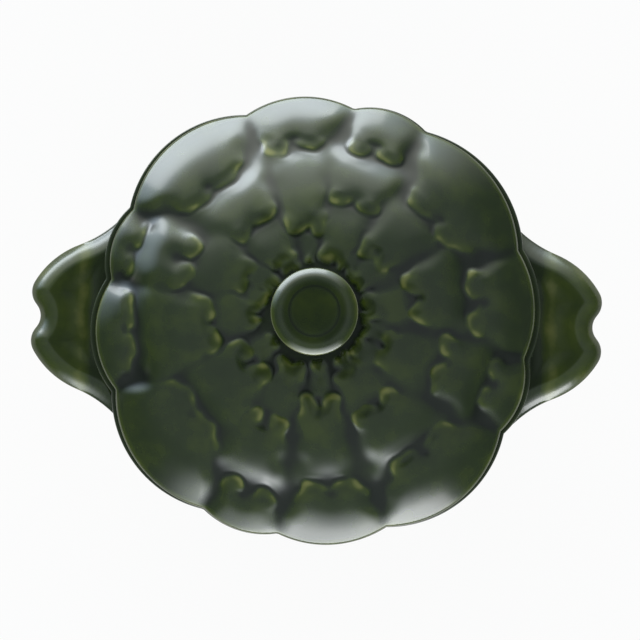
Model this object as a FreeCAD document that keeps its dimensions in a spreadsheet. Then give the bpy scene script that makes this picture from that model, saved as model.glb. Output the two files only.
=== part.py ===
import FreeCAD, Part
import PartDesign
import Sketcher

import math
import os
import re
from typing import NamedTuple

# Covered stoneware cocotte in the form of an artichoke: a lobed pot with two leaf-shaped side handles,
# and a domed lid with rows of two-lobed bracts round a plain knob. Millimetres, +Z up, +X along the handles,
# origin under the middle of the foot ring.

Vector = FreeCAD.Vector
UP = Vector(0, 0, 1)

# Driving dimensions

SIZES = [
    ("rim_height", 54.0, "height of the pot's rim, where the lid rests"),
    ("bowl_inset", 1.5, "how far the bowl's outer sphere lies inside the lid's mean radius"),
    ("bowl_centre", 46.0, "height of the bowl sphere's centre"),
    ("bowl_wall", 5.0, "wall of the bowl in the valleys"),
    ("floor_height", 8.5, "height of the floor inside"),
    ("floor_corner", 9.0, "rounding between floor and wall inside"),
    ("foot_inset", 0.4, "how far the unglazed foot ring lies inside the bowl above it"),
    ("foot_width", 5.0, "width of the foot ring's face"),
    ("foot_height", 3.0, "height of the foot ring"),
    ("foot_recess", 2.0, "how high the base lies above the foot ring's face, with a slope of half this width"),
    ("rim_bead", 2.0, "height of the bead along the pot's rim"),
    ("side_ledge", 1.5, "how far the rim reaches past the lid, over the handles"),
    ("lobe_fade", 20.0, "how far below the rim its lobes run out into the bowl"),
    ("upper_row", 38.0, "height of the upper side bracts' tips"),
    ("middle_row", 25.0, "height of the middle side bracts' tips"),
    ("lower_row", 12.5, "height of the lower side bracts' tips"),
    ("side_lift", 2.0, "height of a side bract's tip above the bowl"),
    ("side_bulge", 0.6, "how far a side bract swells half way up, past a line from its root to its tip"),
    ("side_fall", 0.2, "slope of a side bract's two faces, away from the ridge along its middle"),
    ("side_overlap", 5.0, "how far a side bract's root runs on under the row below"),
    ("handle_top", 50.0, "height of the handles' upper face"),
    ("handle_thickness", 9.0, "thickness of the handles"),
    ("handle_reach", 20.7, "how far the handles stand out from the bowl sphere"),
    ("handle_span", 23.6, "half the width of a handle, where its sides turn into the wall"),
    ("handle_edge", 2.4, "bevel of the handles' edges"),
    ("rim_radius", 64.0, "mean radius of the lid's lobed outline"),
    ("dome_inset", 4.0, "how far the edge of the plain dome under the bracts lies inside the mean radius"),
    ("dome_skirt", 1.5, "height of the plain dome's edge above the seat"),
    ("dome_rise", 27.0, "height of the plain dome's crown above the seat"),
    ("lid_wall", 5.0, "wall of the plain dome"),
    ("lid_edge", 1.2, "thickness of the lid's edge at the outline"),
    ("outer_lift", 2.4, "height of an outer bract's tip above the plain dome"),
    ("middle_lift", 2.0, "height of a middle bract's tip above the plain dome"),
    ("inner_lift", 1.6, "height of an inner bract's tip above the plain dome"),
    ("outer_bulge", 1.7, "how far an outer bract swells half way, past a line from the edge to its tip"),
    ("middle_bulge", 0.9, "the same for a middle bract, over the curve of the dome"),
    ("inner_bulge", 0.5, "the same for an inner bract"),
    ("lid_fall", 0.16, "slope of a lid bract's two faces, away from the ridge along its middle"),
    ("flange_gap", 0.8, "clearance round the lid's flange in the mouth"),
    ("flange_depth", 4.5, "how deep the flange reaches into the mouth"),
    ("flange_wall", 3.6, "wall of the flange"),
    ("flange_chamfer", 1.0, "chamfer of the flange's lower edge"),
    ("knob_radius", 12.25, "radius of the knob"),
    ("knob_height", 16.5, "height of the knob above the plain dome's crown"),
    ("knob_neck", 7.5, "radius of the knob's neck"),
    ("knob_head", 6.5, "height of the knob's head"),
    ("knob_edge", 3.3, "rounding of the knob's upper edge"),
    ("knob_dish", 0.7, "depth of the shallow dish in the knob's top"),
    ("knob_ring", 7.0, "radius of the faint ring inside that dish"),
]


# The lobed outline that rim and lid share


class Lobe(NamedTuple):
    """One lobe of the outline: its valley on the clockwise side, then its peak (degrees, mm)."""

    valley_angle: float
    valley_radius: float
    peak_angle: float
    peak_radius: float


# Radii in both tables are those of a lid with this mean radius, and follow rim_radius from there.
LAYOUT_RADIUS = 64.0

LOBES = [
    Lobe(-9.5, 61.3, 5, 63.6),
    Lobe(20, 62.0, 40, 65.7),
    Lobe(61, 63.0, 71, 64.6),
    Lobe(81, 62.3, 95, 65.1),
    Lobe(110, 62.8, 129, 66.4),
    Lobe(150, 62.0, 159, 63.2),
    Lobe(170, 60.5, 185, 64.0),
    Lobe(200.5, 61.3, 219, 66.0),
    Lobe(240.5, 63.2, 250.5, 64.6),
    Lobe(261, 62.6, 275, 65.0),
    Lobe(290, 63.0, 309, 66.5),
    Lobe(330, 62.3, 340, 63.6),
]


class Bract(NamedTuple):
    """One bract of the lid, seen from above: every point is (degrees, mm from the lid's centre)."""

    first_lobe: tuple
    second_lobe: tuple
    notch_radius: float
    shoulders: tuple
    root: tuple


# Each bract's tip has two lobes with a notch between them and points to the knob. Its shoulders and its root
# are (first angle, last angle, radius), and the root lies under the row outside it.

OUTER_BRACTS = [
    Bract((-2, 43), (14.5, 43), 47, (-7, 18, 49), (-10.5, 21, 60)),
    Bract((32, 40.8), (48, 40.3), 43.5, (25, 54.5, 46.5), (19, 62, 60)),
    Bract((65.5, 48), (78, 47.8), 50.5, (61.5, 81.5, 52), (60, 82, 60)),
    Bract((93.5, 48), (104, 47), 51, (87, 109, 52), (80, 111, 60)),
    Bract((124.5, 45), (136, 44.5), 46.5, (115, 144, 51), (109, 151, 60)),
    Bract((155, 53.3), (166, 53.3), 56, (150.5, 170, 56.5), (149, 171, 60)),
    Bract((179, 51), (190, 51.5), 53, (172, 197, 55), (169, 201.5, 60)),
    Bract((211.5, 40.3), (227, 41), 42.5, (203, 235, 48), (199.5, 241.5, 60)),
    Bract((243, 50.3), (255.5, 51), 54, (240.5, 260.5, 54.5), (239.5, 262, 60)),
    Bract((270, 46), (282.5, 46.3), 48.5, (264.5, 287.5, 50), (260, 291, 60)),
    Bract((303, 45.3), (317.5, 44.8), 48.5, (296, 324, 50), (289, 331, 60)),
    Bract((336, 51.2), (345.5, 50.5), 53.5, (331, 350, 54.5), (329, 351.5, 60)),
]

MIDDLE_BRACTS = [
    Bract((1, 26), (19.5, 25.7), 28.5, (-5, 28, 31), (-6, 30, 46)),
    Bract((37, 20), (54, 20.5), 22.5, (32, 60, 25), (31, 61, 44)),
    Bract((65, 31.5), (80, 31.5), 34.5, (58.5, 87, 36), (57, 88, 50)),
    Bract((88, 22.3), (103.5, 22.3), 24.5, (83, 110, 27), (85, 109, 50)),
    Bract((116.5, 29.2), (132.5, 28.3), 30.5, (110, 141, 34), (110, 144, 48)),
    Bract((151, 37.3), (164.5, 36), 40.5, (147, 171, 41), (146, 171, 57)),
    Bract((177.5, 27.7), (193, 26.8), 29.5, (171, 204, 33), (169, 206, 54)),
    Bract((203, 20), (231, 19.5), 22.5, (198, 238, 25), (201, 237, 44)),
    Bract((238.5, 30.2), (252.5, 29.3), 32.5, (232, 259, 33.5), (233, 260, 52)),
    Bract((265, 22), (283, 22), 24.8, (259, 288, 26), (265, 285, 48)),
    Bract((296.5, 28), (315, 28), 30.5, (290, 321, 33), (292, 325, 49)),
    Bract((335, 36), (350.5, 36), 39, (328, 354, 40.5), (326, 354, 55)),
]

INNER_BRACTS = [
    Bract((1, 13.5), (17, 13.5), 15, (-6, 24, 17), (-4, 22, 28)),
    Bract((64, 15.5), (84, 15.5), 17.5, (58, 89, 19), (60, 86, 34)),
    Bract((93, 14), (99, 14), 14.8, (90, 102, 16), (91, 101, 24)),
    Bract((110, 16.5), (132, 16), 18.5, (106, 138, 20), (110, 136, 31)),
    Bract((141, 20.5), (158.5, 19.8), 22.5, (137, 168, 24), (139, 169, 39)),
    Bract((169, 15.5), (190, 15.5), 17.5, (164, 195, 19), (168, 193, 30)),
    Bract((209, 13), (221, 13), 14, (204, 226, 15.5), (205, 225, 22)),
    Bract((239, 14), (255, 14), 15.5, (233, 262, 18), (235, 260, 32)),
    Bract((271, 13), (280, 13), 14, (267, 284, 15.5), (268, 283, 24)),
    Bract((292, 17), (313, 16), 18.5, (287, 319, 20.5), (289, 317, 31)),
    Bract((325, 19.8), (345, 19.3), 21.5, (320, 351, 24), (322, 351, 38)),
    Bract((29, 14), (47, 14), 15.5, (25, 52, 17), (27, 50, 26)),
]

# Each lobe of a bract is cut with this many flat faces.
LOBE_CHORDS = 4

# Side bracts of the pot point up, in rows from the rim down. Neighbours run into each other by this share.
SIDE_ROWS = ["upper_row", "middle_row", "lower_row"]
SIDE_WIDENING = 1.04

# A side bract's shoulders and lobes, as shares of its width to either side, the lobes' height as a share of its own,
# and the notch between them as a share of theirs. The block that carries the outline starts inside the wall.
SIDE_SHOULDERS = 0.47
SIDE_LOBES = 0.26
SIDE_LOBE_HEIGHT = 0.3
SIDE_NOTCH = 0.5
SIDE_BLOCK_START = 0.6

# Half of a handle's outline from the notch at its end to its root in the wall, as shares of the handle's reach past
# the bowl and of its half width. Each point is joined to the next by an arc that runs on smoothly from the one
# before it, and the other half mirrors it: the notch, a lobe, the swelling side and the hollow at the root.
HANDLE_HALF = [(0.86, 0.0), (0.923, 0.144), (0.957, 0.42), (0.338, 0.89), (-0.333, 1.314)]


def make_sheet(doc):
    """The sheet of driving dimensions: name, value and meaning in each row."""
    sheet = doc.addObject("Spreadsheet::Sheet", "Sizes")
    for row, (alias, value, meaning) in enumerate(SIZES, start=1):
        sheet.set(f"A{row}", alias)
        sheet.set(f"B{row}", str(value))
        sheet.setAlias(f"B{row}", alias)
        sheet.set(f"C{row}", meaning)
    doc.recompute()
    return sheet


def bound(text):
    """An expression over the sheet, from one that holds only its aliases."""
    return re.sub(r"\b([a-z]+_[a-z]+)\b", r"Sizes.\1", text)


# Sketches that follow the sheet

# Numbers by which constraints name a line's two ends and the sketch's own axes. The X axis starts at the origin.
START, END = 1, 2
X_AXIS, Z_AXIS = -1, -2


def closed_profile(body, name, corners):
    """A closed sketch of straight lines in the XZ plane, each corner an (x, z) pair of expressions."""
    sketch = body.newObject("Sketcher::SketchObject", name)
    plane = next(f for f in body.Origin.OriginFeatures if f.Role == "XZ_Plane")
    sketch.AttachmentSupport = [(plane, "")]
    sketch.MapMode = "FlatFace"
    points = [Vector(*(sketch.evalExpression(bound(text)) for text in corner), 0) for corner in corners]
    lines = [
        sketch.addGeometry(Part.LineSegment(start, end))
        for start, end in zip(points, points[1:] + points[:1])
    ]
    for line, following in zip(lines, lines[1:] + lines[:1]):
        sketch.addConstraint(Sketcher.Constraint("Coincident", line, END, following, START))
    for line, corner, point in zip(lines, corners, points):
        for text, value, kind, axis in (
            (corner[0], point.x, "DistanceX", Z_AXIS),
            (corner[1], point.y, "DistanceY", X_AXIS),
        ):
            if text == "0":
                sketch.addConstraint(Sketcher.Constraint("PointOnObject", line, START, axis))
                continue
            sketch.addConstraint(Sketcher.Constraint(kind, X_AXIS, START, line, START, value))
            sketch.setExpression(f"Constraints[{sketch.ConstraintCount - 1}]", bound(text))
    return sketch


def turned_body(doc, name, corners):
    """A body turned from a closed profile about the Z axis."""
    body = doc.addObject("PartDesign::Body", name)
    sketch = closed_profile(body, f"{name}_profile", corners)
    turned = body.newObject("PartDesign::Revolution", f"{name}_turned")
    turned.Profile = sketch
    turned.ReferenceAxis = (sketch, ["V_Axis"])
    turned.Angle = 360
    sketch.Visibility = False
    doc.recompute()
    return body


# Shapes of the relief


def polar(angle, radius, height=0.0):
    """The point at an angle in degrees, a radius and a height."""
    turn = math.radians(angle)
    return Vector(radius * math.cos(turn), radius * math.sin(turn), height)


def roof(root, tip, outwards, falls, size):
    """A large block whose ridge runs through root and tip, and whose two faces fall away from it."""
    along = (tip - root).normalize()
    normal = (outwards - along * outwards.dot(along)).normalize()
    across = normal.cross(along)
    start = root - along * size
    deep = start - normal * size
    corners = [
        start,
        start + across * size - normal * (falls[0] * size),
        deep + across * size,
        deep - across * size,
        start - across * size - normal * (falls[1] * size),
    ]
    return Part.Face(Part.makePolygon(corners + corners[:1])).extrude(along * ((tip - root).Length + 2 * size))


def fall_through(root, tip, outwards, point):
    """Slope of a face that falls away from the ridge and passes through a point beside it."""
    along = (tip - root).normalize()
    normal = (outwards - along * outwards.dot(along)).normalize()
    away = point - root
    return -away.dot(normal) / abs(away.dot(normal.cross(along)))


def faceted_block(upper, lower):
    """A solid between two level rings of as many points, with flat three-cornered sides."""
    rings = [Part.makePolygon(ring + ring[:1]) for ring in (upper, lower)]
    corners = []
    for number in range(len(upper)):
        corners.append((lower[number - 1], lower[number], upper[number]))
        corners.append((lower[number - 1], upper[number], upper[number - 1]))
    faces = [Part.Face(wire) for wire in rings]
    faces += [Part.Face(Part.makePolygon([*three, three[0]])) for three in corners]
    shell = Part.makeShell(faces)
    shell.sewShape()
    solid = Part.Solid(shell)
    if solid.Volume < 0:
        solid.reverse()
    return solid


def prism(outline, sweep):
    """A prism over a closed outline of lines (two points) and arcs (three points)."""
    edges = []
    for points in outline:
        if len(points) == 2:
            edges.append(Part.LineSegment(*points).toShape())
        else:
            edges.append(Part.Arc(*points).toShape())
    return Part.Face(Part.Wire(edges)).extrude(sweep)


def chords(start, middle, end):
    """Straight lines along the arc through three points."""
    points = Part.Arc(start, middle, end).toShape().discretize(Number=LOBE_CHORDS + 1)
    return list(zip(points, points[1:]))


def two_lobed(root, shoulders, lobes, notch):
    """Outline of a bract: straight sides from the root to the shoulders, then two lobes that meet in a notch."""
    return [
        (root[0], shoulders[0]),
        *chords(shoulders[0], lobes[0], notch),
        *chords(notch, lobes[1], shoulders[1]),
        (shoulders[1], root[1]),
        (root[1], root[0]),
    ]


class Layout:
    """Sizes read from the sheet, and the curves of bowl, dome and outline that follow from them."""

    def __init__(self, sheet):
        self.sheet = sheet
        self.stretch = self.size("rim_radius") / LAYOUT_RADIUS
        self.bowl_radius = self.size("rim_radius") - self.size("bowl_inset")
        self.dome_edge = self.size("rim_radius") - self.size("dome_inset")

    def size(self, alias):
        """One driving dimension."""
        return float(getattr(self.sheet, alias))

    def dome_height(self, radius):
        """Height of the plain dome above the lid's seat."""
        rise = self.size("dome_rise") - self.size("dome_skirt")
        sphere = (self.dome_edge**2 + rise**2) / (2 * rise)
        return self.size("dome_rise") - sphere + math.sqrt(sphere**2 - radius**2)

    def bowl_reach(self, height):
        """Radius of the bowl's sphere at a height."""
        return math.sqrt(self.bowl_radius**2 - (height - self.size("bowl_centre")) ** 2)

    def outline_points(self, number, height, ledge):
        """Valley, peak and next valley of a lobe; ledge widens the outline over the handles."""
        lobe = LOBES[number]
        after = LOBES[(number + 1) % len(LOBES)]
        rows = (
            (lobe.valley_angle, lobe.valley_radius),
            (lobe.peak_angle, lobe.peak_radius),
            (after.valley_angle, after.valley_radius),
        )
        return [
            polar(angle, radius * self.stretch + ledge * math.cos(math.radians(angle)) ** 2, height)
            for angle, radius in rows
        ]

    def over_dome(self, angle, radius, lift):
        """A point at a height above the plain dome."""
        return polar(angle, radius, self.dome_height(radius) + lift)


def solid_feature(doc, name, shape):
    """A feature of the document that holds one finished shape."""
    feature = doc.addObject("Part::Feature", name)
    feature.Shape = shape
    return feature


def finished(doc, label, core, pieces, hollow):
    """The node itself: its core with the pieces fused on one after another, less its hollow."""
    shape = core.Shape
    for piece in pieces:
        shape = shape.fuse(piece.Shape)
    node = solid_feature(doc, f"{label}_finished", shape.cut(hollow.Shape))
    node.Label = label
    return node


# The lid


def bract_points(layout, bract):
    """Plan of one lid bract: its root corners, shoulders, lobe tips and notch."""
    stretch = layout.stretch
    middle = (bract.first_lobe[0] + bract.second_lobe[0]) / 2
    root_left, root_right, root_radius = bract.root
    left, right, radius = bract.shoulders
    return (
        (polar(root_left, root_radius * stretch), polar(root_right, root_radius * stretch)),
        (polar(left, radius * stretch), polar(right, radius * stretch)),
        tuple(polar(angle, tip * stretch) for angle, tip in (bract.first_lobe, bract.second_lobe)),
        polar(middle, bract.notch_radius * stretch),
    )


def tip_point(layout, bract, lift):
    """The point over the middle of a bract's tip, at the height of its lobes."""
    angle = (bract.first_lobe[0] + bract.second_lobe[0]) / 2
    radius = (bract.first_lobe[1] + bract.second_lobe[1]) / 2 * layout.stretch
    return layout.over_dome(angle, radius, lift)


def swelling(root, middle, tip, outwards, falls, size):
    """A large block with a ridge from root to tip that swells to a point above the straight line between them."""
    return roof(root, middle, outwards, falls, size).common(roof(middle, tip, outwards, falls, size))


def outer_bract(layout, number, bract):
    """A bract of the outer row: it carries one lobe of the outline, and its sides run on under its neighbours."""
    size = layout.size("rim_radius")
    valley, peak, next_valley = layout.outline_points(number, 0, 0)
    rim = UP * layout.size("lid_edge")
    tip = tip_point(layout, bract, layout.size("outer_lift"))
    middle = (peak + rim + tip) / 2 + UP * layout.size("outer_bulge")
    falls = [fall_through(peak + rim, middle, UP, point + rim) for point in (next_valley, valley)]
    root, shoulders, lobes, notch = bract_points(layout, bract)
    outline = two_lobed(root, shoulders, lobes, notch)[:-1]
    outline += [(root[1], next_valley), (next_valley, peak, valley), (valley, root[0])]
    return swelling(peak + rim, middle, tip, UP, falls, size).common(prism(outline, UP * size))


def set_bract(layout, bract, lift, bulge):
    """A bract of the middle or inner row: two faces from its hidden root up to its tip."""
    size = layout.size("rim_radius")
    angle = (bract.first_lobe[0] + bract.second_lobe[0]) / 2
    root_radius = bract.root[2] * layout.stretch
    tip = tip_point(layout, bract, lift)
    middle_radius = (root_radius + math.hypot(tip.x, tip.y)) / 2
    root = layout.over_dome(angle, root_radius, 0)
    middle = layout.over_dome(angle, middle_radius, lift / 2 + bulge)
    block = prism(two_lobed(*bract_points(layout, bract)), UP * size)
    block.translate(UP * layout.size("dome_skirt") / 2)
    return swelling(root, middle, tip, UP, [layout.size("lid_fall")] * 2, size).common(block)


DOME_EDGE = "(rim_radius - dome_inset)"
DOME_RADIUS = f"(({DOME_EDGE} ^ 2 + (dome_rise - dome_skirt) ^ 2) / (2 * (dome_rise - dome_skirt)))"
DOME_AT = f"(dome_rise - {DOME_RADIUS} + sqrt({DOME_RADIUS} ^ 2 - (%s) ^ 2))"
INNER_DOME_AT = f"(dome_rise - {DOME_RADIUS} + sqrt(({DOME_RADIUS} - lid_wall) ^ 2 - (%s) ^ 2))"
BOWL_RADIUS = "(rim_radius - bowl_inset)"
INNER_BOWL = f"({BOWL_RADIUS} - bowl_wall)"
BOWL_AT = f"sqrt({BOWL_RADIUS} ^ 2 - (%s - bowl_centre) ^ 2)"
INNER_BOWL_AT = f"sqrt({INNER_BOWL} ^ 2 - (%s - bowl_centre) ^ 2)"
MOUTH_RADIUS = INNER_BOWL_AT % "rim_height"
FOOT_RADIUS = f"({BOWL_AT % 'foot_height'} - foot_inset)"

# Where the turned curves of dome, hollow and cavity have their corners, as shares of their width or height.
DOME_CORNERS = (1, 0.75, 0.5, 0.25)
HOLLOW_CORNERS = (1, 0.72, 0.4)
CAVITY_CORNERS = (0.3, 0.63)


def make_lid(doc, layout):
    """The lid, in its own frame with its seat at zero: dome, knob, flange and bracts, then the hollow."""
    flange = f"({MOUTH_RADIUS} - flange_gap)"
    inside = f"({flange} - flange_wall)"
    top = "(dome_rise + knob_height)"
    core = turned_body(doc, "lid_core", [
        ("0", "-flange_depth"),
        (f"{flange} - flange_chamfer", "-flange_depth"),
        (flange, "flange_chamfer - flange_depth"),
        (flange, "0"),
        (DOME_EDGE, "0"),
        *((f"{DOME_EDGE} * {share}", DOME_AT % f"{DOME_EDGE} * {share}") for share in DOME_CORNERS),
        ("knob_neck * 1.2", f"{DOME_AT % 'knob_neck'} + knob_neck * 0.2"),
        ("knob_neck", f"{top} - knob_head * 1.46"),
        ("knob_radius * 0.8", f"{top} - knob_head * 0.85"),
        ("knob_radius", f"{top} - knob_edge"),
        ("knob_radius - knob_edge * 0.13", f"{top} - knob_edge * 0.5"),
        ("knob_radius - knob_edge * 0.5", f"{top} - knob_edge * 0.13"),
        ("knob_radius - knob_edge", top),
        ("knob_ring", f"{top} - knob_dish * 0.55"),
        ("knob_ring * 0.94", f"{top} - knob_dish"),
        ("0", f"{top} - knob_dish"),
    ])
    bracts = [
        solid_feature(doc, f"outer_bract_{number + 1}", outer_bract(layout, number, bract))
        for number, bract in enumerate(OUTER_BRACTS)
    ]
    for row, table in (("middle", MIDDLE_BRACTS), ("inner", INNER_BRACTS)):
        lift, bulge = layout.size(f"{row}_lift"), layout.size(f"{row}_bulge")
        bracts += [
            solid_feature(doc, f"{row}_bract_{number}", set_bract(layout, bract, lift, bulge))
            for number, bract in enumerate(table, start=1)
        ]
    hollow = turned_body(doc, "lid_hollow", [
        ("0", "-2 * flange_depth"),
        (inside, "-2 * flange_depth"),
        *((f"{inside} * {share}", INNER_DOME_AT % f"{inside} * {share}") for share in HOLLOW_CORNERS),
        ("0", "dome_rise - lid_wall"),
    ])
    lid = finished(doc, "lid", core, bracts, hollow)
    lid.setExpression("Placement.Base.z", bound("rim_height"))
    return lid


# The pot


def rim_bead(layout):
    """The bead along the pot's rim, with the lobed outline."""
    low = layout.size("rim_height") - layout.size("rim_bead")
    outline = []
    for number in range(len(LOBES)):
        outline.append(tuple(layout.outline_points(number, low, layout.size("side_ledge"))))
    return prism(outline, UP * layout.size("rim_bead"))


def rim_skirt(layout):
    """The wall under the bead, whose lobes run out into the bowl."""
    top = layout.size("rim_height") - layout.size("rim_bead")
    fade = layout.size("rim_height") - layout.size("lobe_fade")
    upper = []
    for number in range(len(LOBES)):
        upper += layout.outline_points(number, top, layout.size("side_ledge"))[:2]
    reach = layout.bowl_reach(fade)
    lower = [Vector(point.x, point.y, 0).normalize() * reach + UP * fade for point in upper]
    return faceted_block(upper, lower)


def side_bract(layout, angle, width, tip_height, root_height):
    """A bract on the bowl's side, pointing up: two faces cut out by an upright two-lobed outline."""
    start = layout.bowl_radius * SIDE_BLOCK_START
    outwards = polar(angle, 1)
    across = UP.cross(outwards)
    lobe_height = (tip_height - root_height) * SIDE_LOBE_HEIGHT

    def at(share, height):
        return outwards * start + across * (share * width) + UP * height

    shoulder_height = tip_height - lobe_height
    outline = two_lobed(
        (at(-0.5, root_height), at(0.5, root_height)),
        (at(-SIDE_SHOULDERS, shoulder_height), at(SIDE_SHOULDERS, shoulder_height)),
        (at(-SIDE_LOBES, tip_height), at(SIDE_LOBES, tip_height)),
        at(0, tip_height - lobe_height * SIDE_NOTCH),
    )
    middle_height = (root_height + tip_height) / 2
    lift = layout.size("side_lift")
    swell = layout.bowl_reach(middle_height) + lift / 2 + layout.size("side_bulge")
    root = polar(angle, layout.bowl_reach(root_height), root_height)
    middle = polar(angle, swell, middle_height)
    tip = polar(angle, layout.bowl_reach(tip_height) + lift, tip_height)
    block = prism(outline, outwards * layout.bowl_radius)
    falls = [layout.size("side_fall")] * 2
    return swelling(root, middle, tip, outwards, falls, layout.bowl_radius).common(block)


def side_rows(layout):
    """Rows of bracts below the rim, each row set half a step from the one above it."""
    foot = layout.size("foot_height")
    heights = [layout.size(alias) for alias in SIDE_ROWS] + [foot]
    rows = []
    for row, (tip_height, below) in enumerate(zip(heights, heights[1:])):
        root_height = max(below - layout.size("side_overlap"), foot)
        reach = layout.bowl_reach((tip_height + root_height) / 2)
        shapes = []
        for number, lobe in enumerate(LOBES):
            before, after = LOBES[number - 1], LOBES[(number + 1) % len(LOBES)]
            if row % 2 == 0:
                angle, spread = lobe.valley_angle, (lobe.peak_angle - before.peak_angle) % 360
            else:
                angle, spread = lobe.peak_angle, (after.valley_angle - lobe.valley_angle) % 360
            width = 2 * reach * math.sin(math.radians(spread / 2)) * SIDE_WIDENING
            shapes.append(side_bract(layout, angle, width, tip_height, root_height))
        rows.append(shapes)
    return rows


def smooth_arcs(points, direction):
    """Arcs through points, the first along a direction and each next one along the end of the one before."""
    edges = []
    for start, end in zip(points, points[1:]):
        chord = end - start
        across = chord.cross(UP).normalize()
        lean = math.atan2(direction.dot(across), direction.dot(chord) / chord.Length)
        middle = start + chord / 2 + across * (chord.Length / 2 * math.tan(lean / 2))
        edges.append(Part.Arc(start, middle, end).toShape())
        direction = chord * (2 * direction.dot(chord) / chord.Length**2) - direction
    return edges


def handle_outline(layout, turn):
    """A handle seen from above: S-shaped sides, two lobes and a notch, closed inside the wall."""
    reach, span, bowl = layout.size("handle_reach"), layout.size("handle_span"), layout.bowl_radius
    edges = []
    roots = []
    for side in (1, -1):
        points = [Vector(bowl + share * reach, side * width * span, 0) for share, width in HANDLE_HALF]
        edges += smooth_arcs(points, Vector(0, side, 0))
        roots.append(points[-1])
    edges.append(Part.LineSegment(*roots).toShape())
    face = Part.Face(Part.Wire(Part.__sortEdges__(edges)))
    face.rotate(Vector(), UP, turn)
    return face


def make_handle(doc, layout, name, turn):
    """One handle: its outline raised to its thickness, with its edges bevelled."""
    outline = solid_feature(doc, f"{name}_outline", handle_outline(layout, turn))
    slab = doc.addObject("Part::Extrusion", f"{name}_slab")
    slab.Base = outline
    slab.DirMode = "Custom"
    slab.Dir = UP
    slab.Solid = True
    slab.setExpression("LengthFwd", bound("handle_thickness"))
    slab.setExpression("Placement.Base.z", bound("handle_top - handle_thickness"))
    doc.recompute()
    radius = layout.size("handle_edge")
    bevelled = doc.addObject("Part::Chamfer", name)
    bevelled.Base = slab
    bevelled.Edges = [
        (number, radius, radius)
        for number, edge in enumerate(slab.Shape.Edges, start=1)
        if edge.BoundBox.ZLength < 1e-6 and isinstance(edge.Curve, Part.Circle)
    ]
    doc.recompute()
    return bevelled


def make_pot(doc, layout):
    """The pot: bowl, lobed rim, side bracts and handles, then the cavity."""
    core = turned_body(doc, "pot_core", [
        ("0", "foot_recess"),
        (f"{FOOT_RADIUS} - foot_width - foot_recess / 2", "foot_recess"),
        (f"{FOOT_RADIUS} - foot_width", "0"),
        (FOOT_RADIUS, "0"),
        *((BOWL_AT % height, height) for height in ("foot_height", *reversed(SIDE_ROWS), "rim_height")),
        ("0", "rim_height"),
    ])
    pieces = [solid_feature(doc, "rim_bead", rim_bead(layout)), solid_feature(doc, "rim_skirt", rim_skirt(layout))]
    pieces += [make_handle(doc, layout, "right_handle", 0), make_handle(doc, layout, "left_handle", 180)]
    for row, shapes in enumerate(side_rows(layout), start=1):
        pieces += [
            solid_feature(doc, f"side_row_{row}_bract_{number}", shape)
            for number, shape in enumerate(shapes, start=1)
        ]
    wall_foot = "(floor_height + floor_corner)"
    cavity = turned_body(doc, "pot_cavity", [
        ("0", "floor_height"),
        (f"{INNER_BOWL_AT % wall_foot} - floor_corner * 1.1", "floor_height"),
        (f"{INNER_BOWL_AT % wall_foot} - floor_corner * 0.45", "floor_height + floor_corner * 0.32"),
        (INNER_BOWL_AT % wall_foot, wall_foot),
        *(
            (INNER_BOWL_AT % height, height)
            for height in (f"({wall_foot} + (rim_height - {wall_foot}) * {share})" for share in CAVITY_CORNERS)
        ),
        (MOUTH_RADIUS, "rim_height"),
        (MOUTH_RADIUS, "rim_height + foot_height"),
        ("0", "rim_height + foot_height"),
    ])
    return finished(doc, "pot", core, pieces, cavity)


def check(doc, nodes):
    """Stops if any object failed, or if a node's shape is missing, not valid or not in one piece."""
    for item in doc.Objects:
        if "Invalid" in item.State or "Error" in item.State:
            raise RuntimeError(f"{item.Label} failed: {item.State}")
        if item.TypeId == "Part::Feature" and not item.Shape.isValid():
            raise RuntimeError(f"{item.Label} has no valid shape")
    for node in nodes:
        if node.Shape.isNull() or not node.Shape.isValid():
            raise RuntimeError(f"{node.Label} has no valid shape")
        if len(node.Shape.Solids) != 1:
            raise RuntimeError(f"{node.Label} has {len(node.Shape.Solids)} solids")


def main():
    """Builds the document and writes each node's shape."""
    doc = FreeCAD.newDocument("cocotte")
    layout = Layout(make_sheet(doc))
    nodes = [make_pot(doc, layout), make_lid(doc, layout)]
    doc.recompute()
    check(doc, nodes)
    os.makedirs("parts", exist_ok=True)
    for node in nodes:
        node.Shape.exportStep(f"parts/{node.Label}.step")
        box = node.Shape.BoundBox
        print(f"{node.Label}: {node.Shape.Volume / 1000:.1f} cm3, {len(node.Shape.Faces)} faces,",
              f"{box.XLength:.1f} x {box.YLength:.1f} x {box.ZLength:.1f} mm")


main()
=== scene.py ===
"""Looks of a small covered stoneware dutch oven shaped like an artichoke, in olive green glaze.

Edit mode's operators can't give the overlapping bracts, so each relief is worked out as heights on a flat map
and read onto a grid, which is rolled up round the axis and closed. Lengths are in millimetres up to the point
where a mesh is placed.
"""

import logging
import math
from dataclasses import dataclass
from enum import Enum
from typing import Callable, NamedTuple, Optional

import bpy
import numpy as np
from mathutils import Matrix, Vector

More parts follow.
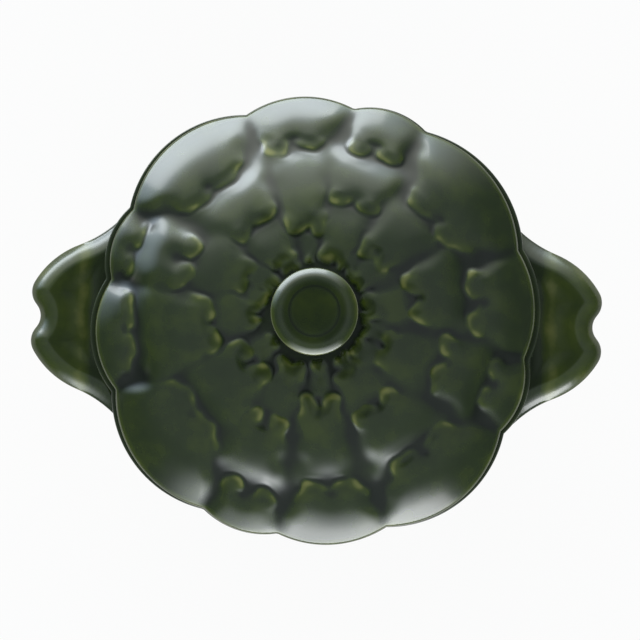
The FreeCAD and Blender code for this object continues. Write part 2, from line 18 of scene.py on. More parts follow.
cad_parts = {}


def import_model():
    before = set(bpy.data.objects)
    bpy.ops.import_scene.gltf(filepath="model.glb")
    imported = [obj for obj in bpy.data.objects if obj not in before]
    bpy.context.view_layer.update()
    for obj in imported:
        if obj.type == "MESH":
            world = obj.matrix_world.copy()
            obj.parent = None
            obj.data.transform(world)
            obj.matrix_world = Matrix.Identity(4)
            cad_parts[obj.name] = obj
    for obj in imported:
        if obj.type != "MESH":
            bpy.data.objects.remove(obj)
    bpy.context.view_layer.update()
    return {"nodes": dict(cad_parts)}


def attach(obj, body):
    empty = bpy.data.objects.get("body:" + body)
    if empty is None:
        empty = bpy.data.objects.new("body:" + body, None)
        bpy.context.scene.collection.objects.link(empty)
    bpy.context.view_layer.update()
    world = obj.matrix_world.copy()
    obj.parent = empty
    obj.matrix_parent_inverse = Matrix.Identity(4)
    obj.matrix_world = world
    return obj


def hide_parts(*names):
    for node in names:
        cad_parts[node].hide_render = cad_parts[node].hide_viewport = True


LOG = logging.getLogger("dutch_oven")
MM = 0.001
MAP_SPACING = 0.3
STRAY = 0.75
SEAM_BLEND = 0.4
PLAIN_THINNESS = 0.42


@dataclass(frozen=True)
class OvenSizes:
    """Driving dimensions in millimetres, with the values of the CAD model."""

    rim_height: float = 54.0
    bowl_radius: float = 62.5
    bowl_centre: float = 46.0
    bowl_wall: float = 5.0
    floor_height: float = 8.5
    floor_corner: float = 9.0
    foot_radius: float = 45.0
    foot_width: float = 5.0
    foot_height: float = 3.0
    side_ledge: float = 1.5
    lobe_fade: float = 20.0
    side_lift: float = 2.0
    side_overlap: float = 5.0
    handle_top: float = 50.0
    handle_thickness: float = 9.0
    handle_reach: float = 20.7
    handle_span: float = 23.6
    rim_radius: float = 64.0
    dome_edge: float = 60.0
    dome_skirt: float = 1.5
    dome_rise: float = 27.0
    lid_wall: float = 5.0
    flange_gap: float = 0.8
    flange_depth: float = 4.5
    flange_wall: float = 3.6
    knob_height: float = 16.5
    knob_neck: float = 7.5
    knob_head: float = 6.5
    knob_ring: float = 7.0

    @property
    def dome_radius(self) -> float:
        """Radius of the sphere that the plain dome is part of."""
        rise = self.dome_rise - self.dome_skirt
        return (self.dome_edge**2 + rise**2) / (2 * rise)

    @property
    def mouth_radius(self) -> float:
        """Radius of the pot's mouth at its rim."""
        inner = self.bowl_radius - self.bowl_wall
        return math.sqrt(inner**2 - (self.rim_height - self.bowl_centre) ** 2)

    def dome_height(self, radius: np.ndarray) -> np.ndarray:
        """Height of the plain dome above the lid's seat.

        Args:
            radius: Distance from the lid's axis, in millimetres.

        Returns:
            The height at each radius.
        """
        sphere = self.dome_radius
        return self.dome_rise - sphere + np.sqrt(np.maximum(sphere**2 - radius**2, 0))

    def bowl_reach(self, height: np.ndarray) -> np.ndarray:
        """Radius of the bowl's outer sphere at a height above the table.

        Args:
            height: Height in millimetres.

        Returns:
            The radius at each height.
        """
        return np.sqrt(self.bowl_radius**2 - (height - self.bowl_centre) ** 2)


SIZES = OvenSizes()


class Lobe(NamedTuple):
    """One lobe of the outline: its valley on the clockwise side, then its peak (degrees, mm)."""

    valley_angle: float
    valley_radius: float
    peak_angle: float
    peak_radius: float


LOBES = (
    Lobe(-9.5, 61.3, 5, 63.6),
    Lobe(20, 62.0, 40, 65.7),
    Lobe(61, 63.0, 71, 64.6),
    Lobe(81, 62.3, 95, 65.1),
    Lobe(110, 62.8, 129, 66.4),
    Lobe(150, 62.0, 159, 63.2),
    Lobe(170, 60.5, 185, 64.0),
    Lobe(200.5, 61.3, 219, 66.0),
    Lobe(240.5, 63.2, 250.5, 64.6),
    Lobe(261, 62.6, 275, 65.0),
    Lobe(290, 63.0, 309, 66.5),
    Lobe(330, 62.3, 340, 63.6),
)


class Bract(NamedTuple):
    """One bract of the lid from above, by angles in degrees and radii in millimetres.

    Attributes:
        first_lobe: Angle and radius of the first lobe of its tip.
        second_lobe: Angle and radius of the second lobe.
        notch_radius: Radius of the notch between them.
        shoulders: Two angles of its shoulders and their radius.
        root: Two angles of its root and their radius.
    """

    first_lobe: tuple
    second_lobe: tuple
    notch_radius: float
    shoulders: tuple
    root: tuple


OUTER_BRACTS = (
    Bract((-2, 43), (14.5, 43), 47, (-7, 18, 49), (-10.5, 21, 60)),
    Bract((32, 40.8), (48, 40.3), 43.5, (25, 54.5, 46.5), (19, 62, 60)),
    Bract((65.5, 48), (78, 47.8), 50.5, (61.5, 81.5, 52), (60, 82, 60)),
    Bract((93.5, 48), (104, 47), 51, (87, 109, 52), (80, 111, 60)),
    Bract((124.5, 45), (136, 44.5), 46.5, (115, 144, 51), (109, 151, 60)),
    Bract((155, 53.3), (166, 53.3), 56, (150.5, 170, 56.5), (149, 171, 60)),
    Bract((179, 51), (190, 51.5), 53, (172, 197, 55), (169, 201.5, 60)),
    Bract((211.5, 40.3), (227, 41), 42.5, (203, 235, 48), (199.5, 241.5, 60)),
    Bract((243, 50.3), (255.5, 51), 54, (240.5, 260.5, 54.5), (239.5, 262, 60)),
    Bract((270, 46), (282.5, 46.3), 48.5, (264.5, 287.5, 50), (260, 291, 60)),
    Bract((303, 45.3), (317.5, 44.8), 48.5, (296, 324, 50), (289, 331, 60)),
    Bract((336, 51.2), (345.5, 50.5), 53.5, (331, 350, 54.5), (329, 351.5, 60)),
)

MIDDLE_BRACTS = (
    Bract((1, 26), (19.5, 25.7), 28.5, (-5, 28, 31), (-6, 30, 46)),
    Bract((37, 20), (54, 20.5), 22.5, (32, 60, 25), (31, 61, 44)),
    Bract((65, 31.5), (80, 31.5), 34.5, (58.5, 87, 36), (57, 88, 50)),
    Bract((88, 22.3), (103.5, 22.3), 24.5, (83, 110, 27), (85, 109, 50)),
    Bract((116.5, 29.2), (132.5, 28.3), 30.5, (110, 141, 34), (110, 144, 48)),
    Bract((151, 37.3), (164.5, 36), 42.5, (147, 171, 41), (146, 171, 57)),
    Bract((177.5, 27.7), (193, 26.8), 29.5, (171, 204, 33), (169, 206, 54)),
    Bract((203, 20), (231, 19.5), 22.5, (198, 238, 25), (201, 237, 44)),
    Bract((238.5, 30.2), (253.5, 29.3), 34, (232, 259, 33.5), (233, 260, 52)),
    Bract((264, 22), (284, 22), 25.5, (259, 288, 26), (265, 285, 48)),
    Bract((296.5, 28), (315, 28), 30.5, (290, 321, 33), (292, 325, 49)),
    Bract((335, 36), (350.5, 36), 39, (328, 354, 40.5), (326, 354, 55)),
)

INNER_BRACTS = (
    Bract((1, 13.5), (17, 13.5), 14.2, (-6, 24, 17), (-4, 22, 28)),
    Bract((64, 15.5), (84, 15.5), 16.4, (58, 89, 19), (60, 86, 34)),
    Bract((93, 14), (99, 14), 14.3, (90, 102, 16), (91, 101, 24)),
    Bract((110, 16.5), (132, 16), 17.2, (106, 138, 20), (110, 136, 31)),
    Bract((141, 20.5), (158.5, 19.8), 21.4, (137, 168, 24), (139, 169, 39)),
    Bract((169, 15.5), (190, 15.5), 16.4, (164, 195, 19), (168, 193, 30)),
    Bract((209, 13), (221, 13), 13.5, (204, 226, 15.5), (205, 225, 22)),
    Bract((239, 14), (255, 14), 14.7, (233, 262, 18), (235, 260, 32)),
    Bract((271, 13), (280, 13), 13.5, (267, 284, 15.5), (268, 283, 24)),
    Bract((292, 17), (313, 16), 17.3, (287, 319, 20.5), (289, 317, 31)),
    Bract((325, 19.8), (345, 19.3), 20.5, (320, 351, 24), (322, 351, 38)),
    Bract((29, 14), (47, 14), 14.7, (25, 52, 17), (27, 50, 26)),
)

CORE_BRACTS = (
    Bract((52, 14), (63, 13.6), 14.6, (48, 67, 16), (50, 65, 22)),
    Bract((112, 13.6), (124, 13.6), 14.3, (108, 129, 15.5), (110, 127, 19)),
    Bract((140, 13.6), (152, 13.8), 14.6, (135, 157, 16), (137, 156, 23)),
    Bract((158, 13.5), (168, 13.6), 14.4, (154, 172, 16), (156, 171, 21)),
    Bract((296, 13.4), (308, 13.4), 14.3, (291, 313, 16), (293, 312, 21)),
    Bract((318, 13.6), (332, 13.5), 14.5, (313, 337, 16.2), (315, 336, 23)),
    Bract((341, 13.5), (351, 13.6), 14.4, (337, 355, 16), (339, 354, 22)),
)

SIDE_ROW_HEIGHTS = (38.0, 25.0, 12.5)


def polar(angle: float, radius: float) -> np.ndarray:
    """The plan point at an angle in degrees and a radius."""
    turn = math.radians(angle)
    return np.array((radius * math.cos(turn), radius * math.sin(turn)))


def smooth_step(value: np.ndarray) -> np.ndarray:
    """Eases a value from 0 to 1, flat at both ends."""
    share = np.clip(value, 0, 1)
    return share * share * (3 - 2 * share)


def bell(value: np.ndarray, width: float) -> np.ndarray:
    """A bell curve, which is 1 at 0 and falls off over a width."""
    return np.exp(-((value / width) ** 2))


def wander(x: np.ndarray, y: np.ndarray) -> np.ndarray:
    """How far a hand-cut edge strays from its drawn line at a place, from -1 to 1.

    Args:
        x: First coordinates in millimetres, round the pot or across the lid.
        y: Second coordinates in millimetres.

    Returns:
        A slow irregular wave, which repeats once round the unrolled side.
    """
    # 0.6 and 0.4 times the unrolled side's radius are whole numbers, so the waves close round the pot.
    first = np.sin(0.6 * x + 1.3 * np.sin(0.47 * y + 0.8))
    second = np.sin(0.83 * y + 1.7 * np.sin(0.4 * x + 2.1))
    return (first + second) / 2


def arc_through(start: np.ndarray, middle: np.ndarray, end: np.ndarray, count: int = 12) -> np.ndarray:
    """Points along the circle through three points.

    Args:
        start: First point.
        middle: A point that the arc passes through.
        end: Last point, which is left off so that arcs can follow one another.
        count: How many points.

    Returns:
        The points, one a row.
    """
    first, second = middle - start, end - start
    across = 2 * (first[0] * second[1] - first[1] * second[0])
    if abs(across) < 1e-9:
        return np.linspace(start, end, count, endpoint=False)
    first_square, second_square = first @ first, second @ second
    centre = start + np.array((
        second[1] * first_square - first[1] * second_square,
        first[0] * second_square - second[0] * first_square,
    )) / across
    radius = np.linalg.norm(start - centre)
    angles = [math.atan2(*(point - centre)[::-1]) for point in (start, middle, end)]
    sweep = (angles[2] - angles[0]) % (2 * math.pi)
    if (angles[1] - angles[0]) % (2 * math.pi) > sweep:
        sweep -= 2 * math.pi
    turns = angles[0] + sweep * np.arange(count) / count
    return centre + radius * np.column_stack((np.cos(turns), np.sin(turns)))


def inside_distance(outline: np.ndarray, x: np.ndarray, y: np.ndarray) -> np.ndarray:
    """Distance from each point to a closed outline, positive inside it.

    Args:
        outline: Corners of the outline, one a row.
        x: First coordinates of the points.
        y: Second coordinates of the points.

    Returns:
        The signed distances.
    """
    nearest = np.full(x.shape, np.inf)
    inside = np.zeros(x.shape, bool)
    for start, end in zip(outline, np.roll(outline, -1, axis=0)):
        edge = end - start
        length = edge @ edge
        if length < 1e-12:
            continue
        share = np.clip(((x - start[0]) * edge[0] + (y - start[1]) * edge[1]) / length, 0, 1)
        away = (x - start[0] - share * edge[0]) ** 2 + (y - start[1] - share * edge[1]) ** 2
        nearest = np.minimum(nearest, away)
        if edge[1] != 0:
            crosses = (start[1] > y) != (end[1] > y)
            inside ^= crosses & (x < edge[0] * (y - start[1]) / edge[1] + start[0])
    return np.where(inside, 1, -1) * np.sqrt(nearest)


@dataclass(frozen=True)
class BractForm:
    """How a row of bracts is modelled: heights and widths in millimetres.

    Attributes:
        tip_lift: Height of the tip over what lies under it.
        root_lift: Height at the root.
        bulge: Extra height half way from root to tip.
        edge: Width over which the crisp step at its edge rounds off.
        pillow: Width over which the rest of its height swells from the edge.
        step: Share of the height that is in the crisp step.
        fold: Depth of the crease that runs from the notch towards the root.
        soft_to: Share of its length up to which its sides have no crisp step at all.
        step_grows: Share of its length over which the step grows from there.
        spread: How far its sides run on under its neighbours near the root.
        spread_to: Share of its length at which that ends.
        spread_fade: Share of its length over which it fades out.
        thin: How far the glaze thins out on its tip, which also paints glints there.
        curl: How far the lip of its tip is turned up, with a hollow behind it.
        lip: How far inside its edge the lip stands.
        lip_width: Width of the lip.
        lip_from: Share of its length at which the lip begins.
        lip_grows: Share of its length over which the lip grows from there.
        hollow: Share of the lip's height by which the hollow is sunk.
        hollow_in: How far inside the edge the hollow is.
        hollow_width: Width of the hollow.
        lean: How far it may lean to one side, half its width from its middle.
        lean_width: Distance from its middle at which it has leant that far.
        crease_width: Width of the crease.
        crease_length: Length of the crease.
        bare_width: Width of the line on the lip where the glaze is thin and glints are painted.
    """

    tip_lift: float
    root_lift: float
    bulge: float
    edge: float
    pillow: float
    step: float
    fold: float
    soft_to: float = 0.5
    step_grows: float = 0.35
    spread: float = 1.0
    spread_to: float = 0.7
    spread_fade: float = 0.4
    thin: float = 1.0
    curl: float = 0.1
    lip: float = 0.9
    lip_width: float = 0.8
    lip_from: float = 0.7
    lip_grows: float = 0.2
    hollow: float = 0.8
    hollow_in: float = 3.0
    hollow_width: float = 1.5
    lean: float = 0.35
    lean_width: float = 7.0
    crease_width: float = 1.7
    crease_length: float = 11.0
    bare_width: float = 1.25

    def sides_spread(self, along: np.ndarray) -> np.ndarray:
        """How far the sides are spread at each share of the length."""
        faded = (along - self.spread_to + self.spread_fade) / self.spread_fade
        return self.spread * (1 - smooth_step(faded))

    def back(self, along: np.ndarray, across: np.ndarray, beyond: np.ndarray, lean: float) -> np.ndarray:
        """Height of the bract's back, before its edges are rounded off.

        Args:
            along: Share of the length from root to tip.
            across: Distance from its middle line.
            beyond: Distance past the notch, towards the tip.
            lean: How far this bract leans to one side.

        Returns:
            The heights.
        """
        middle = np.sin(np.clip(along, 0, 1) * math.pi)
        rise = self.root_lift + (self.tip_lift - self.root_lift) * smooth_step(along)
        rise = rise + self.bulge * middle
        crease = bell(across, self.crease_width) * smooth_step(1 + beyond / self.crease_length)
        rise = rise - self.fold * crease
        return rise + lean * np.clip(across / self.lean_width, -1, 1) * middle

    def rounding(self, along: np.ndarray, depth: np.ndarray) -> np.ndarray:
        """Share of its height that the bract has inside its edge.

        Args:
            along: Share of the length from root to tip.
            depth: Distance inside the edge.

        Returns:
            The shares, from a crisp step at the tip and a slow swell along the sides.
        """
        crisp = np.sin(np.clip(depth / self.edge, 0, 1) * math.pi / 2)
        inside = depth / self.pillow
        swell = (smooth_step(inside) + np.sin(np.clip(inside, 0, 1) * math.pi / 2)) / 2
        step = self.step * smooth_step((along - self.soft_to) / self.step_grows)
        return step * crisp + (1 - step) * swell

    def curled_lip(self, along: np.ndarray, depth: np.ndarray) -> np.ndarray:
        """Height that the turned-up lip adds, and the hollow behind it takes away."""
        lip = bell(depth - self.lip, self.lip_width)
        hollow = self.hollow * bell(depth - self.hollow_in, self.hollow_width)
        return self.curl * (lip - hollow) * smooth_step((along - self.lip_from) / self.lip_grows)

    def tip_share(self, along: np.ndarray) -> np.ndarray:
        """1 at the tip and 0 from the middle of the bract to its root."""
        return smooth_step((along - self.soft_to - 0.1) / 0.25)


class DrawnBract(NamedTuple):
    """A bract drawn on a flat map: its outline, the middles of root and tip, and the bottom of its notch."""

    outline: np.ndarray
    root: np.ndarray
    tip: np.ndarray
    notch: np.ndarray


class Relief:
    """Heights over a flat map, on which bracts are laid over one another."""

    def __init__(self, x: np.ndarray, y: np.ndarray, ground: np.ndarray) -> None:
        """Starts from the bare ground.

        Args:
            x: First coordinates of the map.
            y: Second coordinates of the map.
            ground: Heights under the bracts.
        """
        self.x = x
        self.y = y
        self.height = ground.copy()
        self.ground = ground
        self.crispness = np.zeros_like(ground)
        # Where the glaze breaks thin on the tips, which also paints their glints.
        self.bare = np.zeros_like(ground)

    def lay(self, bract: DrawnBract, form: BractForm, around: float = 0.0) -> None:
        """Lays one bract on the map, over what is there.

        Args:
            bract: The bract's drawing.
            form: How it is modelled.
            around: Length of the map round the pot, where it closes on itself.
        """
        outline, root, tip, notch = bract
        low, high = outline.min(axis=0) - form.spread, outline.max(axis=0) + form.spread
        x = self.x
        if around:
            x = (self.x - tip[0] + around / 2) % around - around / 2 + tip[0]
        here = np.nonzero((x > low[0]) & (x < high[0]) & (self.y > low[1]) & (self.y < high[1]))
        x, y = x[here], self.y[here]
        length = np.linalg.norm(tip - root)
        axis = (tip - root) / length
        along = ((x - root[0]) * axis[0] + (y - root[1]) * axis[1]) / length
        across = (x - root[0]) * -axis[1] + (y - root[1]) * axis[0]
        beyond = (x - notch[0]) * axis[0] + (y - notch[1]) * axis[1]
        depth = inside_distance(outline, x + STRAY * wander(x, y), y + STRAY * wander(x + 11, y - 7))
        depth = depth + form.sides_spread(along)
        lean = form.lean * math.sin(1.7 * tip[0] + 2.3 * tip[1])
        laid = form.back(along, across, beyond, lean) * form.rounding(along, depth)
        laid = self.ground[here] + laid + form.curled_lip(along, depth)
        laid = np.where(depth > 0, laid, -np.inf)
        there = self.height[here]
        # Lighter blotches on the tips: thin glaze, and painted glints as well.
        blotch = 0.4 + 0.6 * smooth_step((wander(1.6 * x - 5, 1.6 * y + 3) + 0.6) / 1.2)
        bare = form.thin * form.tip_share(along) * blotch * bell(depth - form.lip, form.bare_width)
        on_top = laid > there
        self.crispness[here] = np.where(on_top, form.tip_share(along), self.crispness[here])
        self.bare[here] = np.where(on_top, bare, self.bare[here])
        seam = np.exp(-np.abs(laid - there) / SEAM_BLEND)
        self.height[here] = np.maximum(laid, there) + SEAM_BLEND / 2 * seam * (depth > 0)


def blurred(values: np.ndarray, width: float, around: bool = False) -> np.ndarray:
    """Values smoothed by a bell curve.

    Args:
        values: A map of values.
        width: The curve's width in millimetres.
        around: Whether the map's columns close on themselves.

    Returns:
        The smoothed map.
    """
    sigma = width / MAP_SPACING
    reach = int(math.ceil(3 * sigma))
    taps = np.exp(-0.5 * (np.arange(-reach, reach + 1) / sigma) ** 2)
    taps /= taps.sum()
    result = values
    for axis in (0, 1):
        mode = "wrap" if around and axis == 1 else "edge"
        pad = [(reach, reach) if side == axis else (0, 0) for side in (0, 1)]
        padded = np.pad(result, pad, mode=mode)
        total = np.zeros_like(values)
        for step, tap in enumerate(taps):
            window = [slice(None), slice(None)]
            window[axis] = slice(step, step + values.shape[axis])
            total += tap * padded[tuple(window)]
        result = total
    return result


@dataclass(frozen=True)
class GlazeFlow:
    """How the glaze softens a relief and flows over it, with painted shade in its hollows and painted glints
    on its tips: widths and heights in millimetres.

    Attributes:
        pit_width: Width around a pit that it is measured against.
        deepest_pit: Depth of the deepest pit that stays open.
        crisp_width: Softening of the crisp tips.
        soft_width: Softening of everything else.
        tip_width: Width over which one turns into the other.
        tip_gain: How sharply it does.
        tip_loss: How crisp a place has to be before it counts.
        fine_width: Width of the narrow creases where glaze pools and shade is painted.
        fine_pool_and_shade: How far it pools there, a millimetre of depth, which also paints the creases'
            shade.
        broad_width: Width of the valleys where it pools and shade is painted.
        broad_pool_and_shade: How far it pools there, which also paints the valleys' shade.
        broad_thin: How far it thins out on ridges as broad.
        bare: How far it thins out on the tips, which also paints glints on them as lighter colour.
        bare_width: Softening of that line.
    """

    pit_width: float = 2.5
    deepest_pit: float = 0.35
    crisp_width: float = 0.5
    soft_width: float = 1.4
    tip_width: float = 1.2
    tip_gain: float = 2.2
    tip_loss: float = 0.1
    fine_width: float = 0.9
    fine_pool_and_shade: float = 1.4
    broad_width: float = 2.2
    broad_pool_and_shade: float = 1.1
    broad_thin: float = 0.1
    bare: float = 0.43
    bare_width: float = 0.5


class SurfaceMap:
    """A glazed relief and how thinly the glaze lies on it, with painted shade in the hollows and painted
    glints on the tips, read at any place on the map.
    """

    FLOW = GlazeFlow()

    def __init__(self, first: float, low: float, relief: Relief, around: bool = False) -> None:
        """Lets the glaze flow over a relief, painting shade into its hollows and glints onto its tips.

        Args:
            first: First coordinate where the map starts.
            low: Second coordinate where it starts.
            relief: The relief under the glaze.
            around: Whether the map's columns close on themselves.
        """
        self.first = first
        self.low = low
        flow = self.FLOW
        floor = blurred(relief.height, flow.pit_width, around) - flow.deepest_pit
        filled = np.maximum(relief.height, floor)
        crisp = blurred(filled, flow.crisp_width, around)
        soft = blurred(filled, flow.soft_width, around)
        tips = blurred(relief.crispness, flow.tip_width, around)
        crispness = np.clip(flow.tip_gain * tips - flow.tip_loss, 0, 1)
        self.height = soft + (crisp - soft) * crispness
        fine = self.height - blurred(self.height, flow.fine_width, around)
        broad = self.height - blurred(self.height, flow.broad_width, around)
        # Darker in creases and valleys: partly glaze pooling there, partly painted shade where less light
        # reaches.
        pooled_and_shaded = flow.fine_pool_and_shade * np.minimum(fine, 0) + flow.broad_pool_and_shade * np.minimum(broad, 0)
        thinned = flow.broad_thin * np.maximum(broad, 0)
        # Lighter on the tips: partly glaze breaking thin there, partly painted glints.
        thinned = thinned + flow.bare * blurred(relief.bare, flow.bare_width, around)
        self.thinness = np.clip(PLAIN_THINNESS + thinned + pooled_and_shaded, 0, 1)

    def read(self, values: np.ndarray, x: np.ndarray, y: np.ndarray) -> np.ndarray:
        """Values at places between the map's points.

        Args:
            values: The map's heights or thinness.
            x: First coordinates.
            y: Second coordinates.

        Returns:
            The value at each place.
        """
        across = np.clip((x - self.first) / MAP_SPACING, 0, values.shape[1] - 1.001)
        up = np.clip((y - self.low) / MAP_SPACING, 0, values.shape[0] - 1.001)
        column, row = across.astype(int), up.astype(int)
        right, above = across - column, up - row
        lower = values[row, column] * (1 - right) + values[row, column + 1] * right
        upper = values[row + 1, column] * (1 - right) + values[row + 1, column + 1] * right
        return lower * (1 - above) + upper * above


def lobed_radius(angles: np.ndarray, ledge: float = 0.0) -> np.ndarray:
    """Radius of the lobed outline at each angle.

    Args:
        angles: Angles in radians.
        ledge: How far the outline is widened over the handles, in millimetres.

    Returns:
        The radius at each angle, from arcs through each lobe's valleys and peak.
    """
    points = []
    for lobe, after in zip(LOBES, LOBES[1:] + LOBES[:1]):
        valley = polar(lobe.valley_angle, lobe.valley_radius)
        peak = polar(lobe.peak_angle, lobe.peak_radius)
        following = polar(after.valley_angle, after.valley_radius)
        points.append(arc_through(valley, peak, following, 24))
    outline = np.concatenate(points)
    turn = np.arctan2(outline[:, 1], outline[:, 0])
    order = np.argsort(turn)
    radius = np.hypot(outline[:, 0], outline[:, 1])
    found = np.interp(angles, turn[order], radius[order], period=2 * math.pi)
    return found + ledge * np.cos(angles) ** 2


def drawn_bract(bract: Bract, beyond: float = 1.0, reach: float = 0.0) -> DrawnBract:
    """Draws one lid bract on the lid's plan.

    Args:
        bract: The bract.
        beyond: How far its root is carried on outwards, as a factor.
        reach: How far its tip is carried on inwards, in millimetres.

    Returns:
        The drawing.
    """
    left, right, shoulder_radius = bract.shoulders
    root_left, root_right, root_radius = bract.root
    tips = (bract.first_lobe, bract.second_lobe)
    notch = polar((tips[0][0] + tips[1][0]) / 2, bract.notch_radius - reach)
    roots = [polar(angle, root_radius) for angle in (root_left, root_right)]
    shoulders = [polar(angle, shoulder_radius - reach) for angle in (left, right)]
    lobes = [polar(angle, radius - reach) for angle, radius in tips]
    outline = np.concatenate((
        [roots[0] * beyond, roots[0]],
        arc_through(shoulders[0], lobes[0], notch),
        arc_through(notch, lobes[1], shoulders[1]),
        [shoulders[1], roots[1], roots[1] * beyond],
    ))
    return DrawnBract(outline, (roots[0] + roots[1]) / 2 * beyond, (lobes[0] + lobes[1]) / 2, notch)


class BractRow(NamedTuple):
    """A row of lid bracts, how they are modelled, and how far roots are carried outwards and tips inwards."""

    bracts: tuple
    form: BractForm
    beyond: float = 1.0
    reach: float = 0.0


@dataclass(frozen=True)
class Dome:
    """The lid under its bracts: a dome that turns over into a full shoulder before the rim.

    Attributes:
        half_width: Half the width of the map, in millimetres.
        turn_over: Radius where the dome ends.
        edge_height: Height of the shoulder's end at the rim.
        swelling_from: Radius where the shoulder starts to swell.
        swelling: Height of that swelling.
    """

    half_width: float = 70.0
    turn_over: float = 48.0
    edge_height: float = 0.3
    swelling_from: float = 42.0
    swelling: float = 0.55

    def height(self, x: np.ndarray, y: np.ndarray) -> np.ndarray:
        """Height of the bare dome.

        Args:
            x: First coordinates in plan.
            y: Second coordinates.

        Returns:
            The heights above the lid's seat.
        """
        radius = np.hypot(x, y)
        rim = lobed_radius(np.arctan2(y, x))
        crown = float(SIZES.dome_height(np.array(self.turn_over)))
        shoulder = (radius - self.turn_over) / (rim - self.turn_over)
        fallen = crown + (self.edge_height - crown) * shoulder
        plain = np.where(radius < self.turn_over, SIZES.dome_height(radius), fallen)
        share = np.clip((radius - self.swelling_from) / (rim - self.swelling_from), 0, 1)
        return plain + self.swelling * np.sin(share * math.pi) ** 2


class LidRelief:
    """The bracts of the lid, modelled over a plan of its dome, from the knob's foot outwards."""

    DOME = Dome()
    ROWS = (
        BractRow(CORE_BRACTS, BractForm(
            tip_lift=0.85, root_lift=0.5, bulge=0.3, edge=1.1, pillow=2.6, step=0.4, fold=0.0,
            spread=0.3, thin=0.9,
        )),
        BractRow(INNER_BRACTS, BractForm(
            tip_lift=0.9, root_lift=0.4, bulge=0.55, edge=1.3, pillow=3.2, step=0.35, fold=0.0,
            spread=0.5, thin=0.8,
        ), reach=0.2),
        BractRow(MIDDLE_BRACTS, BractForm(
            tip_lift=1.2, root_lift=0.8, bulge=0.75, edge=1.0, pillow=4.5, step=0.5, fold=0.15, spread=0.5,
        )),
        BractRow(OUTER_BRACTS, BractForm(
            tip_lift=1.2, root_lift=0.7, bulge=1.7, edge=1.0, pillow=5.0, step=0.55, fold=0.2, soft_to=0.59,
            spread=2.0, spread_to=0.85, thin=1.15,
        ), beyond=1.25),
    )

    def __init__(self) -> None:
        """Lays the rows over one another, the outer ones on top."""
        start = -self.DOME.half_width
        axis = np.arange(start, -start + MAP_SPACING, MAP_SPACING)
        x, y = np.meshgrid(axis, axis)
        relief = Relief(x, y, self.DOME.height(x, y))
        for row in self.ROWS:
            for bract in row.bracts:
                relief.lay(drawn_bract(bract, row.beyond, row.reach), row.form)
        self.surface = SurfaceMap(start, start, relief)


class SideRelief:
    """The bracts on the pot's side, modelled over its unrolled wall: millimetres round and millimetres up."""

    ROUND = 60.0
    OVERLAP = 1.04
    ROOT_SUNK = 4.0
    LOBE_SHARE = 0.3
    FORM = BractForm(
        tip_lift=SIZES.side_lift, root_lift=0.1, bulge=0.6, edge=1.3, pillow=5.0, step=0.45, fold=0.45,
    )

    def __init__(self) -> None:
        """Lays the rows over one another, the lower ones on top."""
        self.length = 2 * math.pi * self.ROUND
        count = int(round(self.length / MAP_SPACING))
        around = np.arange(count) * self.length / count
        up = np.arange(0, SIZES.rim_height + MAP_SPACING, MAP_SPACING)
        x, y = np.meshgrid(around, up)
        relief = Relief(x, y, np.zeros_like(x))
        bottoms = SIDE_ROW_HEIGHTS[1:] + (SIZES.foot_height,)
        for row, (tip_height, bottom) in enumerate(zip(SIDE_ROW_HEIGHTS, bottoms)):
            root_height = max(bottom - SIZES.side_overlap, SIZES.foot_height)
            for number, lobe in enumerate(LOBES):
                before, after = LOBES[number - 1], LOBES[(number + 1) % len(LOBES)]
                if row % 2 == 0:
                    angle, spread = lobe.valley_angle, (lobe.peak_angle - before.peak_angle) % 360
                else:
                    angle, spread = lobe.peak_angle, (after.valley_angle - lobe.valley_angle) % 360
                drawing = self.drawn(angle, spread, tip_height, root_height)
                relief.lay(drawing, self.FORM, self.length)
        self.surface = SurfaceMap(0.0, 0.0, relief, around=True)

    def drawn(self, angle: float, spread: float, tip_height: float, root_height: float) -> DrawnBract:
        """Draws one side bract, which points up.

        Args:
            angle: Angle of its middle in degrees.
            spread: Angle that it covers in degrees.
            tip_height: Height of its tip.
            root_height: Height of its root.

        Returns:
            The drawing.
        """
        middle = math.radians(angle % 360) * self.ROUND
        width = math.radians(spread) * self.ROUND * self.OVERLAP
        lobe_height = (tip_height - root_height) * self.LOBE_SHARE

        def at(share: float, height: float) -> np.ndarray:
            """The point at a share of the width from the middle, and a height."""
            return np.array((middle + share * width, height))

        notch = at(0, tip_height - lobe_height / 2)
        left, right = at(-0.47, tip_height - lobe_height), at(0.47, tip_height - lobe_height)
        outline = np.concatenate((
            [at(-0.5, root_height)],
            arc_through(left, at(-0.26, tip_height), notch),
            arc_through(notch, at(0.26, tip_height), right),
            [right, at(0.5, root_height)],
        ))
        return DrawnBract(outline, at(0, root_height - self.ROOT_SUNK), at(0, tip_height), notch)

    def read(self, values: np.ndarray, angles: np.ndarray, heights: np.ndarray) -> np.ndarray:
        """Values at angles in radians and heights in millimetres."""
        return self.surface.read(values, (angles % (2 * math.pi)) * self.ROUND, heights)


class Station(NamedTuple):
    """One ring of a turned piece: its radius and height, and how far it follows the lobed outline.

    Attributes:
        radius: Radius in millimetres, or share of the relief's width.
        height: Height in millimetres.
        lobed: How far the ring follows the lobed outline, from 0 to 1.
        relief: How far the ring's height or radius follows the relief, from 0 to 1.
    """

    radius: float
    height: float
    lobed: float = 0.0
    relief: float = 0.0


def round_corner(centre: tuple, radius: float, first: float, last: float, count: int) -> list:
    """Stations round a corner.

    Args:
        centre: Radius and height of the corner's centre.
        radius: The corner's own radius.
        first: Direction of its first station, in degrees from outwards.
        last: Direction of its last station.
        count: How many stations.

    Returns:
        The stations in order.
    """
    across, up = centre
    turns = np.radians(np.linspace(first, last, count))
    return [Station(across + radius * math.cos(turn), up + radius * math.sin(turn)) for turn in turns]


def deselect_all() -> None:
    """Leaves nothing selected."""
    bpy.ops.object.select_all(action="DESELECT")


